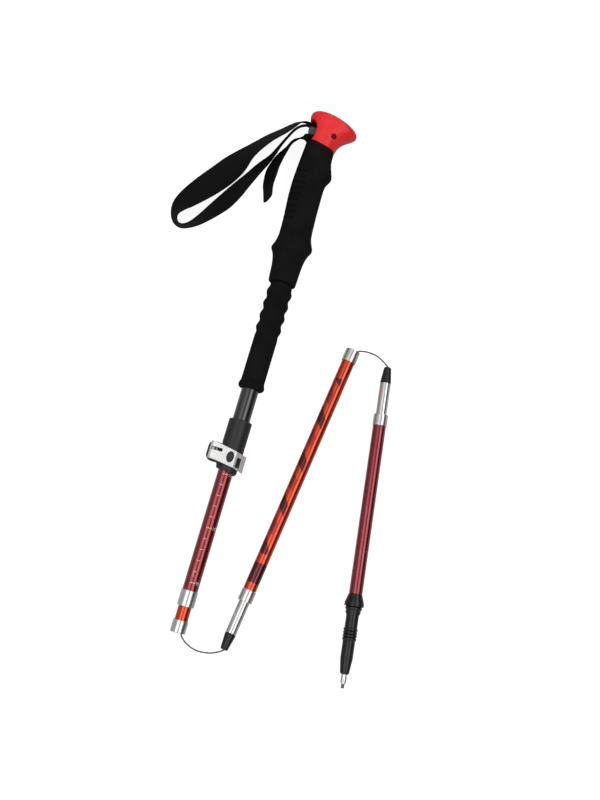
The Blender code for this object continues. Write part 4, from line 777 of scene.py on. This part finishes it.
def webbing_finish():
    """Plain-woven polyester: ribs along the strap that the cross yarns hold down in turn. Its
    colour is half a random grain tone and half painted shade, darker in the hollows of the weave.
    """
    made, shader, tree, where = new_finish(
        "webbing_black", HANDLE, Specular_IOR_Level=0.10, Sheen_Weight=0.008, Sheen_Roughness=0.4
    )
    rib, yarn = 1.15, 0.95
    at = on_the_map(tree)
    rows = figure(tree, "DIVIDE", at["Y"], yarn)
    in_turn = figure(tree, "DIVIDE", at["X"], rib)
    warp = ribs(tree, figure(tree, "MULTIPLY_ADD", figure(tree, "FLOOR", rows), 0.5, in_turn))
    weft = figure(tree, "POWER", ribs(tree, rows), 0.5)
    height = figure(tree, "MULTIPLY", warp, weft)
    grain = grain_on(tree, where, Size=0.0003, Patch=0.012)
    # Painted shade: half of this colour follows the weave's height, darker in its hollows; the
    # other half is a random grain tone.
    shade = figure(tree, "MULTIPLY_ADD", grain["Shade"], 0.5, figure(tree, "MULTIPLY", height, 0.5))
    paint(tree, shader, two_tone(tree, shade, (0.0016, 0.0016, 0.0017), (0.0055, 0.0054, 0.0054)))
    link(tree, spread_value(tree, height, 0.85, 0.62, 0.0, 1.0), shader.inputs["Roughness"])
    relief(tree, shader, height, 0.7, 0.00022)
    return made


def build_strap():
    """The webbing's section is a flat oval with rolled edges. Its cut end is a little rounded."""
    half, steps = WEBBING_THICKNESS / 2, 18
    rolled, flat, end_rounding = half * 0.9, 0.94, 0.0022
    route = webbing_route()
    places = [Vector((across, -front, SEAM + up)) for across, up, front, _ in route]
    last = len(places) - 1
    rings, lengths = [], [0.0]
    for i, at in enumerate(places):
        if i:
            lengths.append(lengths[-1] + (at - places[i - 1]).length * MILLIMETRES)
        along = (places[min(i + 1, last)] - places[max(i - 1, 0)]).normalized()
        lean = math.radians(route[i][3])
        inward = Vector((-along.z, 0, along.x)).normalized()
        width = (Vector((0, -1, 0)) * math.cos(lean) + inward * math.sin(lean)).normalized()
        thick = along.cross(width).normalized()
        half_width = gathered(at.x)
        rounding = end_rounding if i == last else 0.0
        ring = []
        for side in (1, -1):
            for step in range(steps):
                share = side * (1 - 2 * step / (steps - 1))
                edge = min(1.0, (1 - abs(share)) * half_width / rolled)
                depth = side * half * math.sqrt(max(0.0, 1 - (1 - edge) ** 2))
                depth *= 1.0 if edge < 1 else flat
                off = share * half_width
                spot = at + width * off + thick * depth - along * rounding * share**4
                ring.append(HANDLE @ spot)
        rings.append(ring)

    def weave(i, j):
        j %= 2 * steps
        share = (j if j < steps else 2 * steps - 1 - j) / (steps - 1)
        return share * WEBBING_WIDTH * MILLIMETRES, lengths[i]

    strap = skin_over("webbing_strap", rings, weave)
    strap.data.materials.append(webbing_finish())
    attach(strap, "handle")
    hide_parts("wrist_strap")


build_strap()


def finish_nodes(material, *names):
    """Dresses CAD nodes in copies shaded round, with their corners a little broken. The flat places
    are made whole first, and the weighted normals keep them flat."""
    flat, sharp = math.radians(0.6), math.radians(36)
    broken = 0.00014
    for name in names:
        data, mesh = opened(name)
        bmesh.ops.dissolve_limit(mesh, angle_limit=flat, verts=mesh.verts, edges=mesh.edges)
        mesh.to_mesh(data)
        mesh.free()
        piece = new_piece(name + "_made", data)
        corners = {"limit_method": "ANGLE", "angle_limit": sharp}
        add_modifier(piece, "BEVEL", width=broken, segments=2, **corners)
        settle(piece)
        piece.data.shade_smooth()
        piece.data.set_sharp_from_angle(angle=sharp)
        add_modifier(piece, "WEIGHTED_NORMAL", weight=100, keep_sharp=True)
        settle(piece)
        piece.data.materials.append(material)
        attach(piece, nodes[name]["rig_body"])
        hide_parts(name)


def steel_finish():
    """Zinc-plated steel: fine random brushing and a few dull spots."""
    made, shader, tree, where = new_finish("steel", HANDLE, Metallic=1.0)
    grain = grain_on(tree, where, Size=0.0002, Patch=0.004)
    paint(tree, shader, tones(tree, grain["Shade"], (0.50, 0.49, 0.47), (0.66, 0.65, 0.63)))
    roughen(tree, shader, grain["Height"], 0.22, 0.38)
    relief(tree, shader, grain["Height"], 0.2, 0.00002)
    return made


def moulded_finish(name, section, dark, light, low, high):
    """Moulded plastic with a spark-eroded skin, between two shades and two roughnesses. BLACKENED,
    GREY, SOOT and NYLON below hold these four."""
    made, shader, tree, where = new_finish(name, section, Specular_IOR_Level=0.45)
    grain = grain_on(tree, where, Size=0.0004, Patch=0.009)
    paint(tree, shader, tones(tree, grain["Shade"], dark, light))
    roughen(tree, shader, grain["Height"], low, high)
    relief(tree, shader, grain["Height"], 0.4, 0.00006)
    return made


STEEL = steel_finish()
BLACKENED = (0.005, 0.002, 0.002), (0.010, 0.004, 0.004), 0.58, 0.74
GREY = (0.024, 0.025, 0.027), (0.038, 0.039, 0.042), 0.42, 0.58
finish_nodes(moulded_finish("blackened_steel", HANDLE, *BLACKENED), "strap_pin")
finish_nodes(moulded_finish("wedge_grey", HANDLE, *GREY), "strap_wedge")


# Upper tube. Black anodised aluminium, 16 mm, glossy under its sealed coat. Drawing has left faint
# lines along it, and sliding has left fine bright scratches.
def build_scratches():
    """Thin, sparse scratches, drawn out along Z. The mask is 1 on a scratch."""
    inputs = (
        ("Vector", "Vector", None),
        ("Size", "Float", 0.0006),
        ("Drawn Out", "Float", 12.0),
        ("Share", "Float", 0.3),
    )
    tree, given, result = new_group("scratches", inputs, (("Mask", "Float"),))
    cells = add_node(tree, "ShaderNodeTexVoronoi", feature="DISTANCE_TO_EDGE")
    set_sockets(cells, Scale=0.35)
    link(tree, drawn_out(tree, given), cells.inputs["Vector"])
    thin = spread_value(tree, cells.outputs["Distance"], 1.0, 0.0, 0.0, 0.02)
    here = noise_at(tree, given["Vector"], Scale=90.0, Detail=1.0).outputs["Fac"]
    least = figure(tree, "SUBTRACT", 0.72, figure(tree, "MULTIPLY", given["Share"], 0.4))
    kept = figure(tree, "GREATER_THAN", here, least)
    link(tree, figure(tree, "MULTIPLY", thin, kept), result["Mask"])
    return tree


SCRATCHES = build_scratches()


def scratched(tree, where, plain, bare, depth, **values):
    """A colour with some of the bare metal's in its scratches."""
    marks = from_group(tree, SCRATCHES, where, **values)["Mask"]
    return two_tone(tree, figure(tree, "MULTIPLY", marks, depth), plain, bare)


def black_tube_finish():
    """The sealed coat is smooth over the drawn lines."""
    made, shader, tree, where = new_finish(
        "tube_black",
        HANDLE,
        Coat_Weight=1.0,
        Coat_Roughness=0.05,
        Coat_IOR=1.8,
        Specular_IOR_Level=0.15,
    )
    grain = grain_on(tree, where, Size=0.00025, Patch=0.02, Drawn_Out=60.0)
    plain = two_tone(tree, grain["Shade"], (0.0030, 0.0030, 0.0031), (0.0058, 0.0057, 0.0057))
    paint(tree, shader, scratched(tree, where, plain, (0.10, 0.10, 0.10), 0.35, Share=0.25))
    roughen(tree, shader, grain["Height"], 0.30, 0.42)
    relief(tree, shader, grain["Height"], 0.12, 0.00002)
    return made


finish_nodes(black_tube_finish(), "upper_tube")


# Clamp. A black nylon collar, split below its ears, closes on the tube when the lever's cam pulls
# on the screw. The lever is blasted aluminium plate, and its cam turns on a steel nut.
def lever_finish():
    """Blasted plate, with short marks where the thumb and the tube rub it."""
    made, shader, tree, where = new_finish("blasted_aluminium", HANDLE, Metallic=0.60)
    grain = grain_on(tree, where, Size=0.00022, Patch=0.005)
    plain = tones(tree, grain["Shade"], (0.74, 0.74, 0.74), (0.84, 0.84, 0.83))
    marks = {"Share": 0.5, "Size": 0.0004, "Drawn_Out": 3.0}
    paint(tree, shader, scratched(tree, where, plain, (0.55, 0.55, 0.55), 0.5, **marks))
    roughen(tree, shader, grain["Height"], 0.27, 0.37)
    relief(tree, shader, grain["Height"], 0.25, 0.00002)
    return made


SOOT = (0.0105, 0.0103, 0.0100), (0.0165, 0.0160, 0.0155), 0.36, 0.50
finish_nodes(moulded_finish("clamp_black", HANDLE, *SOOT), "clamp_collar")
finish_nodes(lever_finish(), "clamp_lever")
finish_nodes(STEEL, "barrel_nut", "cam_washer", "tension_screw")
NYLON = (0.0025, 0.0025, 0.0026), (0.0055, 0.0055, 0.0056), 0.20, 0.32
finish_nodes(
    moulded_finish("nylon_black", HANDLE, *NYLON),
    "adjuster_knob",
    "guide_bush",
    "cable_anchor_plug",
)


# Scale tube. Maroon anodised aluminium, 14 mm, slides in the upper tube. Its scale is printed on
# the front: a tick every centimetre, and a longer one with a number every five.
def anodised_finish(name, section, dyes, gloss, printing=None):
    """Dyed anodised aluminium: coloured metal with drawn lines, under a clear sealed skin. The
    printing is a function that gives the share of dark ink at a place on the section."""
    made, shader, tree, where = new_finish(
        name, section, Metallic=1.0, Coat_Weight=gloss, Coat_Roughness=0.06, Coat_IOR=1.6
    )
    grain = grain_on(tree, where, Size=0.00022, Patch=0.018, Drawn_Out=70.0)
    patches = figure(tree, "MULTIPLY", grain["Shade"], 0.6)
    shade = figure(tree, "MULTIPLY_ADD", grain["Height"], 0.4, patches)
    colour = scratched(tree, where, tones(tree, shade, *dyes), (0.75, 0.66, 0.64), 0.22, Share=0.3)
    if printing:
        colour = two_tone(tree, printing(tree, where), colour, (0.085, 0.012, 0.018))
    paint(tree, shader, colour)
    roughen(tree, shader, grain["Height"], 0.18, 0.27)
    relief(tree, shader, grain["Height"], 0.10, 0.00002)
    return made


def build_ticks():
    """Printed ticks along a tube: a short patch bent round it, repeated up the front."""
    inputs = (
        ("Geometry", "Geometry", None),
        ("Count", "Int", None),
        ("First", "Float", None),
        ("Pitch", "Float", None),
        ("Radius", "Float", None),
        ("Left End", "Float", None),
        ("Length", "Float", None),
        ("Width", "Float", None),
        ("Ink", "Material", None),
    )
    outputs = (("Geometry", "Geometry"),)
    tree, given, result = new_group("ticks_along_tube", inputs, outputs, "Geometry")
    patch = add_node(tree, "GeometryNodeMeshGrid")
    set_sockets(patch, Vertices_X=10, Vertices_Y=2)
    link(tree, given["Length"], patch.inputs["Size X"])
    link(tree, given["Width"], patch.inputs["Size Y"])
    at = split(tree, add_node(tree, "GeometryNodeInputPosition").outputs[0])
    half = figure(tree, "MULTIPLY_ADD", given["Length"], 0.5, given["Left End"])
    turn = figure(tree, "DIVIDE", figure(tree, "ADD", at["X"], half), given["Radius"])
    across = figure(tree, "MULTIPLY", figure(tree, "SINE", turn), given["Radius"])
    front = figure(tree, "MULTIPLY", figure(tree, "COSINE", turn), given["Radius"])
    back = figure(tree, "MULTIPLY", front, -1.0)
    bend = add_node(tree, "GeometryNodeSetPosition")
    link(tree, patch.outputs["Mesh"], bend.inputs["Geometry"])
    link(tree, joined(tree, X=across, Y=back, Z=at["Y"]), bend.inputs["Position"])
    line = add_node(tree, "GeometryNodeMeshLine")
    link(tree, given["Count"], line.inputs["Count"])
    link(tree, joined(tree, Z=given["First"]), line.inputs["Start Location"])
    link(tree, joined(tree, Z=given["Pitch"]), line.inputs["Offset"])
    repeat = add_node(tree, "GeometryNodeInstanceOnPoints")
    link(tree, line.outputs[0], repeat.inputs["Points"])
    link(tree, bend.outputs[0], repeat.inputs["Instance"])
    real = add_node(tree, "GeometryNodeRealizeInstances")
    link(tree, repeat.outputs[0], real.inputs[0])
    inked = add_node(tree, "GeometryNodeSetMaterial")
    link(tree, real.outputs[0], inked.inputs["Geometry"])
    link(tree, given["Ink"], inked.inputs["Material"])
    link(tree, inked.outputs[0], result[0])
    return tree


def grown(name, tree, values):
    """A plain mesh grown by a Geometry Nodes tree with these values for its inputs."""
    piece = new_piece(name, bpy.data.meshes.new(name))
    grow = add_modifier(piece, "NODES", node_group=tree)
    for socket in tree.interface.items_tree:
        if socket.in_out == "INPUT" and socket.name in values:
            grow[socket.identifier] = values[socket.name]
    return settle(piece)


MAROON = ((0.25, 0.014, 0.020), (0.33, 0.020, 0.027))


def scale_ink():
    """Pale red print, a little worn."""
    ink, shader, tree, where = new_finish("scale_ink", HANDLE, Roughness=0.5)
    grain = grain_on(tree, where, Size=0.0003, Patch=0.006)
    paint(tree, shader, tones(tree, grain["Height"], (0.66, 0.40, 0.37), (0.84, 0.58, 0.53)))
    return ink


def number_on_tube(text, height, radius, ink):
    """A number printed to the right of its tick, and bent round the tube."""
    start, size = 0.0037, 0.0044
    name = "number_" + text
    letters = bpy.data.curves.new(name, "FONT")
    letters.body = text
    letters.size = size
    letters.align_y = "CENTER"
    letters.resolution_u = 3
    letters.materials.append(ink)
    flat = new_piece(name, letters)
    data = settled_mesh(flat)
    bpy.data.objects.remove(flat)
    for vertex in data.vertices:
        turn = (start + vertex.co.x) / radius
        vertex.co = (radius * math.sin(turn), -radius * math.cos(turn), height + vertex.co.y)
    return new_piece(name, data)


def build_scale():
    """Ticks and numbers lie 0.02 mm above the tube, and the long ticks as much above the short."""
    ink = scale_ink()
    radius, above = 0.00702, 0.00002
    low, step, left_end = 0.0451, 0.050, -0.0014
    ticks = build_ticks()
    rows = (
        ("scale_ticks", 11, 0.010, 0.0028, 0.00055, radius),
        ("scale_long_ticks", 3, step, 0.0046, 0.00065, radius + above),
    )
    printed = []
    for name, count, pitch, length, width, at_radius in rows:
        values = {
            "Count": count,
            "First": low,
            "Pitch": pitch,
            "Radius": at_radius,
            "Left End": left_end,
            "Length": length,
            "Width": width,
            "Ink": ink,
        }
        printed.append(grown(name, ticks, values))
    for steps_up, text in ((2, "105"), (1, "100"), (0, "95")):
        printed.append(number_on_tube(text, low + steps_up * step, radius, ink))
    for piece in printed:
        piece.data.transform(HANDLE)
        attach(piece, "scale_tube")


finish_nodes(anodised_finish("anodised_maroon", HANDLE, MAROON, 0.9), "scale_tube")
build_scale()


# Collars and spigots. Bright turned aluminium, pressed into the tube ends. The cutting tool has
# left very fine rings round them.
def turned_finish(name, section):
    """The rings are grain that changes only along the section."""
    made, shader, tree, where = new_finish(name, section, Metallic=1.0)
    rings = grain_on(tree, joined(tree, Z=split(tree, where)["Z"]), Size=0.00014, Patch=0.004)
    grain = grain_on(tree, where, Size=0.0006, Patch=0.007)
    plain = tones(tree, grain["Shade"], (0.68, 0.68, 0.675), (0.76, 0.76, 0.755))
    marks = {"Share": 0.4, "Size": 0.0005, "Drawn_Out": 10.0}
    paint(tree, shader, scratched(tree, where, plain, (0.45, 0.45, 0.45), 0.35, **marks))
    roughen(tree, shader, rings["Height"], 0.17, 0.26)
    relief(tree, shader, rings["Height"], 0.05, 0.00001)
    return made


finish_nodes(
    turned_finish("turned_aluminium", HANDLE),
    "scale_collar",
    "sleeve_collar",
    "cable_ferrule",
)


# Tension sleeve. An orange tube that slides out of the scale tube to pull the cable tight, until
# its sprung steel button snaps out over the edge.
ORANGE = ((0.70, 0.058, 0.016), (0.80, 0.075, 0.022))
finish_nodes(anodised_finish("anodised_orange", HANDLE, ORANGE, 0.5), "tension_sleeve")
finish_nodes(STEEL, "lock_button", "button_spring")


# Middle section. An orange tube with a black nylon nose on a bright spigot. A plain pattern of dark
# slanted bars is printed round its left side, and a dark band near its lower end.
def between(tree, value, low, high):
    """1 where a value is between two others, or else 0."""
    above = figure(tree, "GREATER_THAN", value, low)
    return figure(tree, "MULTIPLY", above, figure(tree, "LESS_THAN", value, high))


def dark_bars(tree, where):
    """The share of ink on the middle tube: bars round its left side that climb as they turn, every
    other one shorter and fainter, and a band below them."""
    pitch, slant, bar, taper = 0.0215, 0.0060, 0.54, -0.10
    furthest, nearest, shorter = -2.4, 0.35, -0.35
    lowest, highest, band_low, band_high = 0.0900, 0.2640, 0.0630, 0.0815
    fainter, ink = -0.45, 0.93
    at = split(tree, where)
    turn = figure(tree, "ARCTAN2", at["X"], figure(tree, "MULTIPLY", at["Y"], -1.0))
    run = figure(tree, "DIVIDE", figure(tree, "MULTIPLY_ADD", turn, slant, at["Z"]), pitch)
    row = figure(tree, "FLOOR", run)
    odd = figure(tree, "MODULO", row, 2.0)
    within = figure(tree, "SUBTRACT", run, row)
    bars = figure(tree, "LESS_THAN", within, figure(tree, "MULTIPLY_ADD", turn, taper, bar))
    near_end = figure(tree, "MULTIPLY_ADD", odd, shorter, nearest)
    for mask in (
        between(tree, turn, furthest, near_end),
        between(tree, at["Z"], lowest, highest),
        figure(tree, "MULTIPLY_ADD", odd, fainter, 1.0),
    ):
        bars = figure(tree, "MULTIPLY", bars, mask)
    band = between(tree, at["Z"], band_low, band_high)
    return figure(tree, "MULTIPLY", figure(tree, "MAXIMUM", bars, band), ink)


finish_nodes(anodised_finish("printed_orange", MIDDLE, ORANGE, 0.5, dark_bars), "middle_tube")
finish_nodes(
    turned_finish("turned_aluminium_middle", MIDDLE),
    "middle_spigot",
    "middle_collar",
    "middle_mouth_collar",
)
finish_nodes(moulded_finish("nylon_black_middle", MIDDLE, *NYLON), "middle_nose")


# Lower section and tip. A maroon tube ends in a black nylon foot, with a flare and ridges for a
# basket. The steel end is brazed round a short tungsten carbide point.
def carbide_finish():
    """Dark sintered metal with a coarse, broken grain."""
    made, shader, tree, where = new_finish("carbide", LOWER, Metallic=1.0)
    grain = grain_on(tree, where, Size=0.0002, Patch=0.002)
    paint(tree, shader, tones(tree, grain["Height"], (0.10, 0.10, 0.105), (0.22, 0.22, 0.22)))
    roughen(tree, shader, grain["Shade"], 0.35, 0.55)
    relief(tree, shader, grain["Height"], 0.5, 0.00005)
    return made


finish_nodes(anodised_finish("anodised_maroon_lower", LOWER, MAROON, 0.9), "lower_tube")
finish_nodes(
    turned_finish("turned_aluminium_lower", LOWER),
    "lower_spigot",
    "lower_collar",
    "flex_tip",
)
finish_nodes(
    moulded_finish("nylon_black_lower", LOWER, *NYLON),
    "lower_nose",
    "tip_body",
    "lower_anchor",
)
finish_nodes(carbide_finish(), "carbide_tip")
